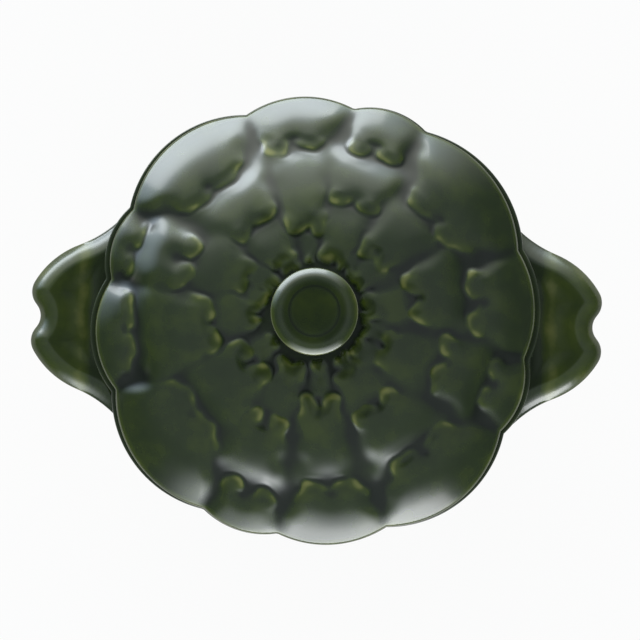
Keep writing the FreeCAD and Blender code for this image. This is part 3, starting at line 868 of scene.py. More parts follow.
def rolled_grid(name: str, rings: int, steps: int) -> bpy.types.Object:
    """A plain grid to be rolled up round the axis, one row a ring.

    Args:
        name: The new object's name.
        rings: Rows of points.
        steps: Faces round the axis.

    Returns:
        The grid, whose point coordinates are its ring and step numbers.
    """
    deselect_all()
    bpy.ops.mesh.primitive_grid_add(x_subdivisions=rings - 1, y_subdivisions=steps, size=2)
    grid = bpy.context.object
    grid.name = grid.data.name = name
    return grid


def points_of(piece: bpy.types.Object) -> np.ndarray:
    """All points of a mesh, one a row."""
    flat = np.empty(len(piece.data.vertices) * 3)
    piece.data.vertices.foreach_get("co", flat)
    return flat.reshape(-1, 3)


def move_points(piece: bpy.types.Object, points: np.ndarray) -> None:
    """Moves all points of a mesh."""
    piece.data.vertices.foreach_set("co", points.ravel())
    piece.data.update()


def write_thinness(piece: bpy.types.Object, values: np.ndarray) -> None:
    """Writes how thinly the glaze lies, with painted shade and glints, for the material to read.

    Args:
        piece: The piece.
        values: A value for each point, from 0 where glaze pools and shade is painted darkest to 1 on a bare
            edge.
    """
    attribute = piece.data.attributes.get("thinness")
    if attribute is None:
        attribute = piece.data.attributes.new("thinness", "FLOAT", "POINT")
    attribute.data.foreach_set("value", values.astype(np.float32))


def make_active(piece: bpy.types.Object) -> None:
    """Selects one piece alone and makes it active."""
    deselect_all()
    piece.select_set(True)
    bpy.context.view_layer.objects.active = piece


def apply_modifier(piece: bpy.types.Object, kind: str, **settings) -> None:
    """Adds a modifier to a piece and applies it.

    Args:
        piece: The piece, which becomes the active object.
        kind: The modifier's type.
        **settings: Its settings by name.
    """
    make_active(piece)
    modifier = piece.modifiers.new(kind.lower(), kind)
    for setting, value in settings.items():
        setattr(modifier, setting, value)
    bpy.ops.object.modifier_apply(modifier=modifier.name)


def join_solid(piece: bpy.types.Object, added: bpy.types.Object) -> None:
    """Unites a second solid with a piece and removes it."""
    apply_modifier(piece, "BOOLEAN", operation="UNION", object=added, solver="EXACT")
    bpy.data.objects.remove(added)


def close_and_smooth(piece: bpy.types.Object) -> None:
    """Joins the seam and poles of a rolled grid, turns its faces outwards and shades it smooth.

    Args:
        piece: The rolled grid.
    """
    make_active(piece)
    bpy.ops.object.mode_set(mode="EDIT")
    bpy.ops.mesh.select_all(action="SELECT")
    bpy.ops.mesh.remove_doubles(threshold=2e-6)
    bpy.ops.mesh.normals_make_consistent(inside=False)
    bpy.ops.object.mode_set(mode="OBJECT")
    bpy.ops.object.shade_smooth()


def turned_piece(name: str, stations: list, steps: int, place: Callable) -> bpy.types.Object:
    """A closed piece turned about the axis from its stations.

    Args:
        name: The new object's name.
        stations: Its rings from one pole to the other.
        steps: Faces round the axis.
        place: Works out radius, height and thinness from (radius, height, lobed, relief, angles).

    Returns:
        The finished mesh object.
    """
    piece = rolled_grid(name, len(stations), steps)
    grid = points_of(piece)
    ring = np.rint((grid[:, 0] + 1) / 2 * (len(stations) - 1)).astype(int)
    angles = (grid[:, 1] + 1) * math.pi
    table = np.array(stations)
    radius, height, thinness = place(*table[ring].T, angles)
    points = np.column_stack((radius * np.cos(angles), radius * np.sin(angles), height)) * MM
    move_points(piece, points)
    write_thinness(piece, thinness)
    close_and_smooth(piece)
    return piece


def dress(piece: bpy.types.Object, node: str, glaze: bpy.types.Material) -> None:
    """Glazes a finished piece and lets it stand for its CAD node.

    Args:
        piece: The piece.
        node: The CAD node that it replaces.
        glaze: Its material.
    """
    piece.data.materials.clear()
    piece.data.materials.append(glaze)
    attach(piece, "root")
    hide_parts(node)
    LOG.info("%s has %d faces", piece.name, len(piece.data.polygons))


@dataclass(frozen=True)
class Knob:
    """The lid's round knob: a waist, a rolled edge, and a shallow dish with a fine ring in it.

    Attributes:
        head: Its head from the middle outwards and under, as radii and depths below the top.
        waist: Its neck from the head down, as radii beyond the neck's and depths below the head.
        face_thinness: How thinly the glaze lies on its face.
        edge_thinness: How much thinner it lies on the rolled edge.
        edge_from: Radius where it starts to thin out.
        edge_over: Width over which it does.
        ring_width: Width of the ring.
        ring_darkening: How much darker the ring is.
        foot_radius: Radius of the painted shade round its foot.
        foot_width: Width of that shade.
        foot_shade: How much darker the painted shade makes the glaze there.
    """

    head: tuple = (
        (0, 0.24), (3, 0.24), (5.4, 0.22), (6.2, 0.16), (6.7, 0.1), (6.9, 0.08), (7.1, 0.06), (7.3, 0.04),
        (7.6, 0.01), (8.2, 0.02), (8.8, 0.08), (9.3, 0.18), (9.7, 0.31), (10.1, 0.5), (10.5, 0.77),
        (10.9, 1.08), (11.3, 1.41), (11.7, 1.76), (12.0, 2.03), (12.17, 2.2), (12.25, 2.5), (12.25, 2.95),
        (12.15, 3.6), (11.8, 4.5), (11.05, 5.3), (10.05, 6.0), (9.0, 6.6),
    )
    waist: tuple = ((0.7, 1.6), (0.1, 3.2), (0, 5.2), (0.25, 7.2), (0.8, 8.8))
    face_thinness: float = 0.44
    edge_thinness: float = 0.22
    edge_from: float = 10.6
    edge_over: float = 1.4
    ring_width: float = 0.25
    ring_darkening: float = 0.3
    foot_radius: float = 10.5
    foot_width: float = 3.2
    foot_shade: float = 0.22

    def stations(self) -> list:
        """The knob's rings from the middle of its face down to its foot."""
        top = SIZES.dome_rise + SIZES.knob_height
        head = [Station(radius, top - down) for radius, down in self.head]
        neck = top - SIZES.knob_head
        return head + [Station(SIZES.knob_neck + out, neck - down) for out, down in self.waist]

    def thinness(self, radius: np.ndarray, height: np.ndarray) -> np.ndarray:
        """How thinly the glaze lies on the knob.

        Args:
            radius: Radius of each point.
            height: Its height above the lid's seat.

        Returns:
            The thinness at each point.
        """
        edge = smooth_step((radius - self.edge_from) / self.edge_over)
        on_face = height > SIZES.dome_rise + SIZES.knob_height - 1
        ring = self.ring_darkening * bell(radius - SIZES.knob_ring, self.ring_width) * on_face
        return self.face_thinness + self.edge_thinness * edge - ring

    def pool(self, radius: np.ndarray) -> np.ndarray:
        """How much painted shade darkens the dome round the knob's foot."""
        return self.foot_shade * bell(radius - self.foot_radius, self.foot_width)


@dataclass(frozen=True)
class Lid:
    """The lid: bract-covered dome, round knob, rolled rim and the locating flange under it.

    Attributes:
        relief: Its bracts.
        knob: Its knob.
        steps: Faces round its axis.
        dome_rings: Rings on the dome.
        dome_from: Radius of the dome's first ring, under the knob's neck.
        lobed_from: Share of the rim's radius from which the rings turn lobed.
        lobed_over: Share over which they do.
        inset: How far its edge stands inside the pot's outline.
        inset_lean: How much more it does at the back, and less at the front, as a share.
        least_height: Least height of the dome over the seat.
        edge_mark: How far inside the edge the height of its roll is read.
        least_edge: Least height of the roll.
        roll_lift: How far the roll stands over the relief.
        rim_band: Width of the band at the rim where the glaze is thin.
        rim_fade: Width over which it thins out.
        rim_thinness: How thinly it lies there.
        rim_height: Height up to which a point belongs to the rim.
        seat_inset: How far the flat seat reaches in from the rim.
        hollow_rings: Rings in the hollow under the dome.
    """

    relief: LidRelief
    knob: Knob = Knob()
    steps: int = 540
    dome_rings: int = 122
    dome_from: float = 9.0
    lobed_from: float = 0.3
    lobed_over: float = 0.5
    inset: float = 0.35
    inset_lean: float = 0.6
    least_height: float = 0.4
    edge_mark: float = 0.2
    least_edge: float = 0.5
    roll_lift: float = 0.1
    rim_band: float = 1.6
    rim_fade: float = 1.2
    rim_thinness: float = 0.6
    rim_height: float = 8.0
    seat_inset: float = 3.0
    hollow_rings: int = 14

    def stations(self) -> list:
        """All rings from the knob's middle to the middle of the lid's underside."""
        s = SIZES
        shares = np.linspace(self.dome_from / s.rim_radius, 1, self.dome_rings)
        lobed = smooth_step((shares - self.lobed_from) / self.lobed_over)
        dome = [Station(share, 0, follows, 1) for share, follows in zip(shares, lobed)]
        rim = [
            Station(s.rim_radius + 0.18, 0.66, 1, 0.5),
            Station(s.rim_radius + 0.2, 0.33, 1, 0.25),
            Station(s.rim_radius - 0.1, 0.08, 1),
            Station(s.rim_radius - 0.6, 0, 1),
            Station(s.rim_radius - self.seat_inset, 0, 0.7),
        ]
        flange = s.mouth_radius - s.flange_gap
        inside = flange - s.flange_wall
        under = [
            Station(flange + 0.3, 0),
            Station(flange, -0.3),
            Station(flange, -s.flange_depth + 1.2),
            Station(flange - 0.4, -s.flange_depth + 0.3),
            Station(flange - 1.2, -s.flange_depth),
            Station(inside + 1.0, -s.flange_depth),
            Station(inside + 0.2, -s.flange_depth + 0.5),
            Station(inside, -s.flange_depth + 1.2),
        ]
        ceiling = s.dome_radius - s.lid_wall
        for radius in np.linspace(inside, 0, self.hollow_rings):
            under.append(Station(radius, s.dome_rise - s.dome_radius + math.sqrt(ceiling**2 - radius**2)))
        return self.knob.stations() + dome + rim + under

    def place(self, radius: np.ndarray, height: np.ndarray, lobed: np.ndarray, relief: np.ndarray,
              angles: np.ndarray) -> tuple:
        """Where the lid's points lie, and how thinly they are glazed, with painted shade and glints.

        Args:
            radius: Radius of each point's station, which on the dome is a share of the rim's.
            height: Height of the station above the lid's seat.
            lobed: How far it follows the lobed outline.
            relief: How far it follows the relief.
            angles: Angle of each point in radians.

        Returns:
            The radius, the height above the table and the thinness of each point.
        """
        outline = lobed_radius(angles) - self.inset * (1 + self.inset_lean * np.sin(angles))
        on_dome = relief == 1
        plain = np.where(on_dome, radius * SIZES.rim_radius, radius)
        reach = plain * (1 + lobed * (outline / SIZES.rim_radius - 1))
        x, y = reach * np.cos(angles), reach * np.sin(angles)
        surface = self.relief.surface
        dome_height = np.maximum(surface.read(surface.height, x, y), self.least_height)
        edge = outline - self.edge_mark
        edge_height = surface.read(surface.height, edge * np.cos(angles), edge * np.sin(angles))
        on_roll = (relief > 0) & (relief < 1)
        rolled = np.maximum(edge_height, self.least_edge) * relief + self.roll_lift
        raised = np.where(on_roll, rolled, height)
        raised = np.where(on_dome, dome_height, raised)
        # The relief's glaze with its painted shade and glints, and painted shade round the knob's foot.
        glazed = surface.read(surface.thinness, x, y) - self.knob.pool(plain)
        on_knob = ~on_dome & (raised > SIZES.dome_rise)
        thinness = np.where(on_knob, self.knob.thinness(plain, raised), PLAIN_THINNESS)
        thinness = np.where(on_dome, glazed, thinness)
        rim = smooth_step((reach - outline + self.rim_band) / self.rim_fade) * (raised < self.rim_height)
        thinness = thinness * (1 - rim) + self.rim_thinness * rim
        return reach, raised + SIZES.rim_height, thinness

    def build(self, glaze: bpy.types.Material) -> bpy.types.Object:
        """Makes the lid as one piece and glazes it.

        Args:
            glaze: Its material.

        Returns:
            The lid.
        """
        lid = turned_piece("glazed_lid", self.stations(), self.steps, self.place)
        dress(lid, "lid", glaze)
        return lid


@dataclass(frozen=True)
class Pot:
    """The pot: lobed rim, bract-covered bowl, foot ring and the two leaf-shaped handles.

    Attributes:
        relief: The bracts on its side.
        steps: Faces round its axis.
        wall_rings: Rings on its side.
        inside_rings: Rings on the wall of its cavity.
        corner_rings: Rings round the corner of its floor.
        base_height: Height of its base inside the foot ring.
        rim_edge: Height of the rolled edge of its rim.
        skin: How far inside the bowl's outer face a point still belongs to the outside.
    """

    relief: SideRelief
    steps: int = 540
    wall_rings: int = 100
    inside_rings: int = 20
    corner_rings: int = 8
    base_height: float = 2.0
    rim_edge: float = 1.4
    skin: float = 1.5

    def foot(self) -> list:
        """Rings from the middle of the base out to the top of the foot ring."""
        outside = SIZES.foot_radius
        inside = outside - SIZES.foot_width
        return [
            Station(0, self.base_height),
            Station(inside - 2.4, self.base_height),
            Station(inside - 1.0, 1.5),
            Station(inside - 0.2, 0.4),
            Station(inside + 0.5, 0),
            Station(outside - 0.7, 0),
            Station(outside - 0.1, 0.5),
            Station(outside, 1.2),
            Station(outside, 2.2),
        ]

    def side(self) -> list:
        """Rings up the side, which turn lobed towards the rim."""
        heights = np.linspace(SIZES.foot_height + 0.2, SIZES.rim_height - self.rim_edge, self.wall_rings)
        return [
            Station(0, height, max(0.0, 1 - (SIZES.rim_height - height) / SIZES.lobe_fade), 1)
            for height in heights
        ]

    @staticmethod
    def rim() -> list:
        """Rings over the rim into the mouth."""
        outside, inside, top = SIZES.rim_radius, SIZES.mouth_radius, SIZES.rim_height
        return [
            Station(outside, top - 0.7, 1),
            Station(outside - 0.05, top - 0.3, 1),
            Station(outside - 0.2, top - 0.08, 1),
            Station(outside - 0.45, top, 1),
            Station(outside - 1.2, top, 1),
            Station(inside + 1.2, top),
            Station(inside + 0.4, top - 0.3),
            Station(inside, top - 1.0),
        ]

    def cavity(self) -> list:
        """Rings down the inside of the bowl, round its corner and over its floor."""
        s = SIZES
        inner = s.bowl_radius - s.bowl_wall
        corner_height = s.floor_height + s.floor_corner
        corner_centre = math.sqrt((inner - s.floor_corner) ** 2 - (s.bowl_centre - corner_height) ** 2)
        lean = math.atan2(s.bowl_centre - corner_height, corner_centre)
        heights = np.linspace(s.rim_height - 2.5, s.bowl_centre - inner * math.sin(lean), self.inside_rings)
        wall = [Station(math.sqrt(inner**2 - (height - s.bowl_centre) ** 2), height) for height in heights]
        corner = round_corner(
            (corner_centre, corner_height), s.floor_corner, -math.degrees(lean), -90, self.corner_rings,
        )
        floor = [Station(corner_centre * share, s.floor_height) for share in (0.66, 0.33, 0)]
        return wall + corner[1:] + floor

    def place(self, radius: np.ndarray, height: np.ndarray, lobed: np.ndarray, relief: np.ndarray,
              angles: np.ndarray) -> tuple:
        """Where the pot's points lie, and how thinly they are glazed, with painted shade and glints.

        Args:
            radius: Radius of each point's station.
            height: Height of the station.
            lobed: How far it follows the lobed outline.
            relief: 1 on the side and 0 elsewhere.
            angles: Angle of each point in radians.

        Returns:
            The radius, the height and the thinness of each point.
        """
        outline = lobed_radius(angles, SIZES.side_ledge)
        on_side = relief == 1
        bowl = SIZES.bowl_reach(height)
        surface = self.relief.surface
        side = bowl + lobed * (outline - bowl) + self.relief.read(surface.height, angles, height)
        other = radius * (1 + lobed * (outline / SIZES.rim_radius - 1))
        thinness = np.where(on_side, self.relief.read(surface.thinness, angles, height), PLAIN_THINNESS)
        return np.where(on_side, side, other), height, thinness

    def build(self, glaze: bpy.types.Material) -> bpy.types.Object:
        """Makes the pot with its handles as one piece and glazes it.

        Args:
            glaze: Its material.

        Returns:
            The pot.
        """
        stations = self.foot() + self.side() + self.rim() + self.cavity()
        pot = turned_piece("glazed_pot", stations, self.steps, self.place)
        handles = [Handle(side) for side in HandleSide]
        for handle in handles:
            join_solid(pot, handle.build())
        self.glaze_again(pot, handles)
        dress(pot, "pot", glaze)
        return pot

    def glaze_again(self, pot: bpy.types.Object, handles: list) -> None:
        """Writes the glaze's thinness, with the side's painted shade and glints, by place, because joining
        the handles scrambles it.

        Args:
            pot: The pot with its handles on.
            handles: The handles.
        """
        points = points_of(pot) / MM
        angles, height = np.arctan2(points[:, 1], points[:, 0]), points[:, 2]
        bowl = SIZES.bowl_reach(np.clip(height, 0, SIZES.rim_height))
        outside = np.hypot(points[:, 0], points[:, 1]) > bowl - self.skin
        surface = self.relief.surface
        thinness = np.where(outside, self.relief.read(surface.thinness, angles, height), PLAIN_THINNESS)
        for handle in handles:
            thinness = np.where(handle.holds(points), handle.thinness(points), thinness)
        write_thinness(pot, thinness)


class HandleSide(Enum):
    """The side of the pot that a handle is on."""

    RIGHT = 1
    LEFT = -1


@dataclass(frozen=True)
class Handle:
    """A leaf-shaped side handle with S-curved sides, rounded edges and a slightly hollow face.

    Attributes:
        side: The side of the pot that it is on.
        half_outline: Half its outline from the tip's notch to the root, as shares of its reach and span.
        edge: Radius of its rounded edges.
        voxel: Size of the remesh that joins face and edges.
        smoothing: Strength of each smoothing after it.
        smoothing_rounds: How many times it is smoothed.
        dish: How far its face is hollow.
        dish_from: Distance inside the edge where the hollow starts.
        dish_over: Width over which it deepens.
        roll: Width over which its face falls to the edge.
        drop: How far it falls there.
        roll_power: How quickly it falls.
        most_sunk: Largest share of half its thickness that it may lose.
        groove: How far the face lies lower beside the rim.
        groove_to: Distance from the pot's axis where that ends.
        groove_width: Width over which it does.
        face_thinness: How thinly the glaze lies on its face.
        ridge_thinness: How much thinner it lies along the edge.
        ridge_in: Distance inside the edge of that line, and its width.
        band_thinness: How much thinner it lies in the band beside the gutter.
        band_at: Distance of the band from the pot's axis.
        band_width: Its width.
        gutter_pool: How much thicker the glaze lies in the gutter at the rim.
        gutter_at: Distance from the axis where the gutter ends.
        gutter_width: Width over which it does.
        margin: How far above and below it a point still belongs to it.
        wall_gap: How far outside the pot's wall its own glaze starts.
    """

    side: HandleSide
    half_outline: tuple = ((0.86, 0.0), (0.923, 0.144), (0.957, 0.42), (0.338, 0.89), (-0.333, 1.314))
    edge: float = 2.4
    voxel: float = 0.55
    smoothing: float = 0.6
    smoothing_rounds: int = 8
    dish: float = 0.5
    dish_from: float = 7.0
    dish_over: float = 5.0
    roll: float = 5.2
    drop: float = 3.5
    roll_power: float = 1.25
    most_sunk: float = 0.8
    groove: float = 0.5
    groove_to: float = 71.5
    groove_width: float = 6.5
    face_thinness: float = 0.54
    ridge_thinness: float = 0.05
    ridge_in: float = 1.6
    band_thinness: float = 0.13
    band_at: float = 68.2
    band_width: float = 2.0
    gutter_pool: float = 0.16
    gutter_at: float = 64.4
    gutter_width: float = 2.2
    margin: float = 0.5
    wall_gap: float = 0.3

    def outline(self) -> np.ndarray:
        """The outline from root to root, round the tip.

        Returns:
            Its points, one a row, along arcs that run smoothly into one another.
        """
        reach, span, bowl = SIZES.handle_reach, SIZES.handle_span, SIZES.bowl_radius
        points = [np.array((bowl + along * reach, across * span)) for along, across in self.half_outline]
        direction = np.array((0.0, 1.0))
        half = []
        for start, end in zip(points, points[1:]):
            chord = end - start
            length = np.linalg.norm(chord)
            side = np.array((chord[1], -chord[0])) / length
            lean = math.atan2(direction @ side, direction @ chord / length)
            middle = start + chord / 2 + side * (length / 2 * math.tan(lean / 2))
            half.append(arc_through(start, middle, end, 10))
            direction = chord * (2 * (direction @ chord) / length**2) - direction
        half = np.concatenate(half + [[points[-1]]])
        return np.concatenate((half[:0:-1] * (1, -1), half))

    def build(self) -> bpy.types.Object:
        """Makes the handle in its place.

        Returns:
            The handle: its outline thickened with rounded edges, remeshed, smoothed and hollowed.
        """
        outline = self.outline()
        curve = bpy.data.curves.new("handle_leaf", "CURVE")
        curve.dimensions = "2D"
        curve.fill_mode = "BOTH"
        spline = curve.splines.new("POLY")
        spline.points.add(len(outline) - 1)
        for point, (x, y) in zip(spline.points, outline):
            point.co = (x * MM, y * MM, 0, 1)
        spline.use_cyclic_u = True
        curve.bevel_depth = self.edge * MM
        curve.bevel_resolution = 5
        curve.extrude = (SIZES.handle_thickness / 2 - self.edge) * MM
        curve.offset = -self.edge * MM
        leaf = bpy.data.objects.new("handle_leaf", curve)
        bpy.context.scene.collection.objects.link(leaf)
        make_active(leaf)
        bpy.ops.object.convert(target="MESH")
        handle = bpy.context.object
        apply_modifier(handle, "REMESH", mode="VOXEL", voxel_size=self.voxel * MM)
        apply_modifier(handle, "SMOOTH", factor=self.smoothing, iterations=self.smoothing_rounds)
        self.shape(handle, outline)
        bpy.ops.object.shade_smooth()
        return handle

    def shape(self, handle: bpy.types.Object, outline: np.ndarray) -> None:
        """Hollows the face, rounds it over to the edge and puts the handle in its place.

        Args:
            handle: The handle, flat at the height of its middle.
            outline: Its outline.
        """
        points = points_of(handle) / MM
        depth = inside_distance(outline, points[:, 0], points[:, 1])
        dished = smooth_step((depth - self.dish_from) / self.dish_over)
        sunk = np.clip((self.roll - depth) / self.roll, 0, 1) ** self.roll_power
        beside_rim = smooth_step((self.groove_to - points[:, 0]) / self.groove_width)
        lower = self.dish * dished + self.drop * sunk + self.groove * beside_rim
        half_thickness = SIZES.handle_thickness / 2
        kept = 1 - np.minimum(lower / half_thickness, self.most_sunk)
        points[:, 2] *= np.where(points[:, 2] > 0, kept, 1)
        points[:, 2] += SIZES.handle_top - half_thickness
        points[:, :2] *= self.side.value
        move_points(handle, points * MM)

    def holds(self, points: np.ndarray) -> np.ndarray:
        """Which points lie on this handle, outside the pot's wall.

        Args:
            points: Points of the pot, one a row.

        Returns:
            True for each point that does.
        """
        x, y, height = points.T
        low = SIZES.handle_top - SIZES.handle_thickness - self.margin
        level = (height > low) & (height < SIZES.handle_top + self.margin)
        wall = lobed_radius(np.arctan2(y, x), SIZES.side_ledge)
        return level & (x * self.side.value > 0) & (np.hypot(x, y) > wall + self.wall_gap)

    def thinness(self, points: np.ndarray) -> np.ndarray:
        """How thinly the glaze lies on the handle.

        Args:
            points: Points, one a row.

        Returns:
            The thinness at each point.
        """
        out, across = points[:, 0] * self.side.value, points[:, 1] * self.side.value
        depth = inside_distance(self.outline(), out, across)
        ridge = bell(depth - self.ridge_in, self.ridge_in)
        band = bell(out - self.band_at, self.band_width)
        gutter = 1 - smooth_step((out - self.gutter_at) / self.gutter_width)
        thinned = self.ridge_thinness * ridge + self.band_thinness * band
        return np.clip(self.face_thinness + thinned - self.gutter_pool * gutter, 0, 1)


def linear(hex_colour: str) -> tuple:
    """A sRGB hex colour as linear red, green, blue and alpha."""
    channels = [int(hex_colour.lstrip("#")[start:start + 2], 16) / 255 for start in (0, 2, 4)]
    return (*(c / 12.92 if c <= 0.04045 else ((c + 0.055) / 1.055) ** 2.4 for c in channels), 1.0)


@dataclass(frozen=True)
class OliveGlaze:
    """Translucent olive glaze over pale stoneware, dipped and fired glossy.

    Attributes:
        pool: Colour where it lies thickest, in the creases, and of the shade painted there.
        body: Its common colour.
        thin: Colour where it thins out on rounded forms.
        edge: Colour on the sharpest edges, where the clay shows through, and of the glints painted on the
            tips.
        pool_at: Thinness up to which it has the colour of pools and painted shade.
        thin_at: Thinness at which it has the thin colour.
        roughness: Softness of its reflections.
        ior: Refraction of fired glaze.
        cloud_mm: Size of the soft clouds in its colour.
        cloud_shift: How far they shift its thinness either way.
    """

    pool: str = "#0d140a"
    body: str = "#232f12"
    thin: str = "#394512"
    edge: str = "#8c8c4e"
    pool_at: float = 0.08
    thin_at: float = 0.62
    roughness: float = 0.16
    ior: float = 1.6
    cloud_mm: float = 9.0
    cloud_shift: float = 0.09


@dataclass(frozen=True)
class BareStoneware:
    """Fired stoneware under the foot, wiped clean of glaze before firing.

    Attributes:
        clay: Its colour.
        roughness: Softness of its reflections.
        wiped_mm: Height up to which it is wiped clean.
    """

    clay: str = "#c2b59c"
    roughness: float = 0.75
    wiped_mm: float = 0.45


class Stop(NamedTuple):
    """A colour on a ramp."""

    place: float
    colour: str


def add_node(tree: bpy.types.NodeTree, kind: str, inputs: Optional[dict] = None,
             **settings) -> bpy.types.Node:
    """Adds a node with its settings and links.

    Args:
        tree: The node tree.
        kind: The node's type.
        inputs: Values or other nodes' sockets for its inputs, by name or number.
        **settings: The node's own settings.

    Returns:
        The new node.
    """
    node = tree.nodes.new(kind)
    for setting, value in settings.items():
        setattr(node, setting, value)
    for key, value in (inputs or {}).items():
        if isinstance(value, bpy.types.NodeSocket):
            tree.links.new(value, node.inputs[key])
        else:
            node.inputs[key].default_value = value
    return node


def set_ramp(node: bpy.types.Node, stops: tuple) -> None:
    """Sets the colours of a ramp.

    Args:
        node: The ramp's node.
        stops: Its stops in order.
    """
    elements = node.color_ramp.elements
    while len(elements) < len(stops):
        elements.new(0.5)
    for element, stop in zip(elements, stops):
        element.position = stop.place
        element.color = linear(stop.colour)


def empty_material(name: str) -> tuple:
    """A new material with no nodes, and its tree."""
    material = bpy.data.materials.new(name)
    material.use_nodes = True
    material.node_tree.nodes.clear()
    return material, material.node_tree


def glazed_stoneware(glaze: OliveGlaze, bare: BareStoneware) -> bpy.types.Material:
    """Makes the one material of pot and lid.

    Args:
        glaze: The glaze.
        bare: The clay under the foot.

    Returns:
        The material.
    """
    # Stoneware dipped in translucent glaze and fired: a wet-looking, clear skin that runs nearly black green
    # into the creases, partly as pooled glaze and partly as painted shade, lies in soft olive clouds on the
    # open faces, and breaks yellow green over each tip, partly as thin glaze and partly as painted glints.
    material, tree = empty_material("dipped_olive_glaze_on_stoneware")
    place = add_node(tree, "ShaderNodeTexCoord").outputs["Object"]
    clouds = add_node(
        tree, "ShaderNodeTexNoise",
        {"Vector": place, "Scale": 1 / (glaze.cloud_mm * MM), "Detail": 3.0, "Roughness": 0.5},
    )
    shift = add_node(tree, "ShaderNodeMapRange", {
        "Value": clouds.outputs["Fac"], "From Min": 0.3, "From Max": 0.7,
        "To Min": -glaze.cloud_shift, "To Max": glaze.cloud_shift,
    })
    # The thinness attribute also carries painted shade in the hollows and painted glints on the tips.
    thinness = add_node(tree, "ShaderNodeAttribute", attribute_name="thinness")
    clouded = add_node(
        tree, "ShaderNodeMath", {0: thinness.outputs["Fac"], 1: shift.outputs["Result"]}, operation="ADD",
    )
    ramp = add_node(tree, "ShaderNodeValToRGB", {"Fac": clouded.outputs["Value"]})
    set_ramp(ramp, (
        Stop(glaze.pool_at, glaze.pool),
        Stop(PLAIN_THINNESS, glaze.body),
        Stop(glaze.thin_at, glaze.thin),
        Stop(1.0, glaze.edge),
    ))
    glossy = add_node(
        tree, "ShaderNodeBsdfPrincipled",
        {"Base Color": ramp.outputs["Color"], "Roughness": glaze.roughness, "IOR": glaze.ior},
    )
    # The wiped foot is dry, pale and matt, with the sandy look of fired clay.
    matt = add_node(
        tree, "ShaderNodeBsdfPrincipled", {"Base Color": linear(bare.clay), "Roughness": bare.roughness},
    )
    height = add_node(tree, "ShaderNodeSeparateXYZ", {"Vector": place}).outputs["Z"]
    wiped = add_node(tree, "ShaderNodeMath", {0: height, 1: bare.wiped_mm * MM}, operation="LESS_THAN")
    surface = add_node(
        tree, "ShaderNodeMixShader",
        {"Fac": wiped.outputs["Value"], 1: glossy.outputs["BSDF"], 2: matt.outputs["BSDF"]},
    )
    add_node(tree, "ShaderNodeOutputMaterial", {"Surface": surface.outputs["Shader"]})
    return material


class Softbox(NamedTuple):
    """One soft lamp: where it stands, where it points, its size in metres and its power in watts."""

    name: str
    place: tuple
    aim: tuple
    width: float
    height: float
    power: float


class Glow(NamedTuple):
    """A soft glow of the room low down at one side, by the direction that it is seen in.

    Attributes:
        towards: Where it stands, in degrees from +X.
        side_from: Cosine of the angle away from there where it starts.
        side_to: Cosine where it has its full strength.
        top: Sine of the height where it starts.
        full_at: Sine of the height where it has its full strength.
        strength: Its strength, where 1 is white.
        colour: Its colour.
    """

    towards: float
    side_from: float
    side_to: float
    top: float
    full_at: float
    strength: float
    colour: str


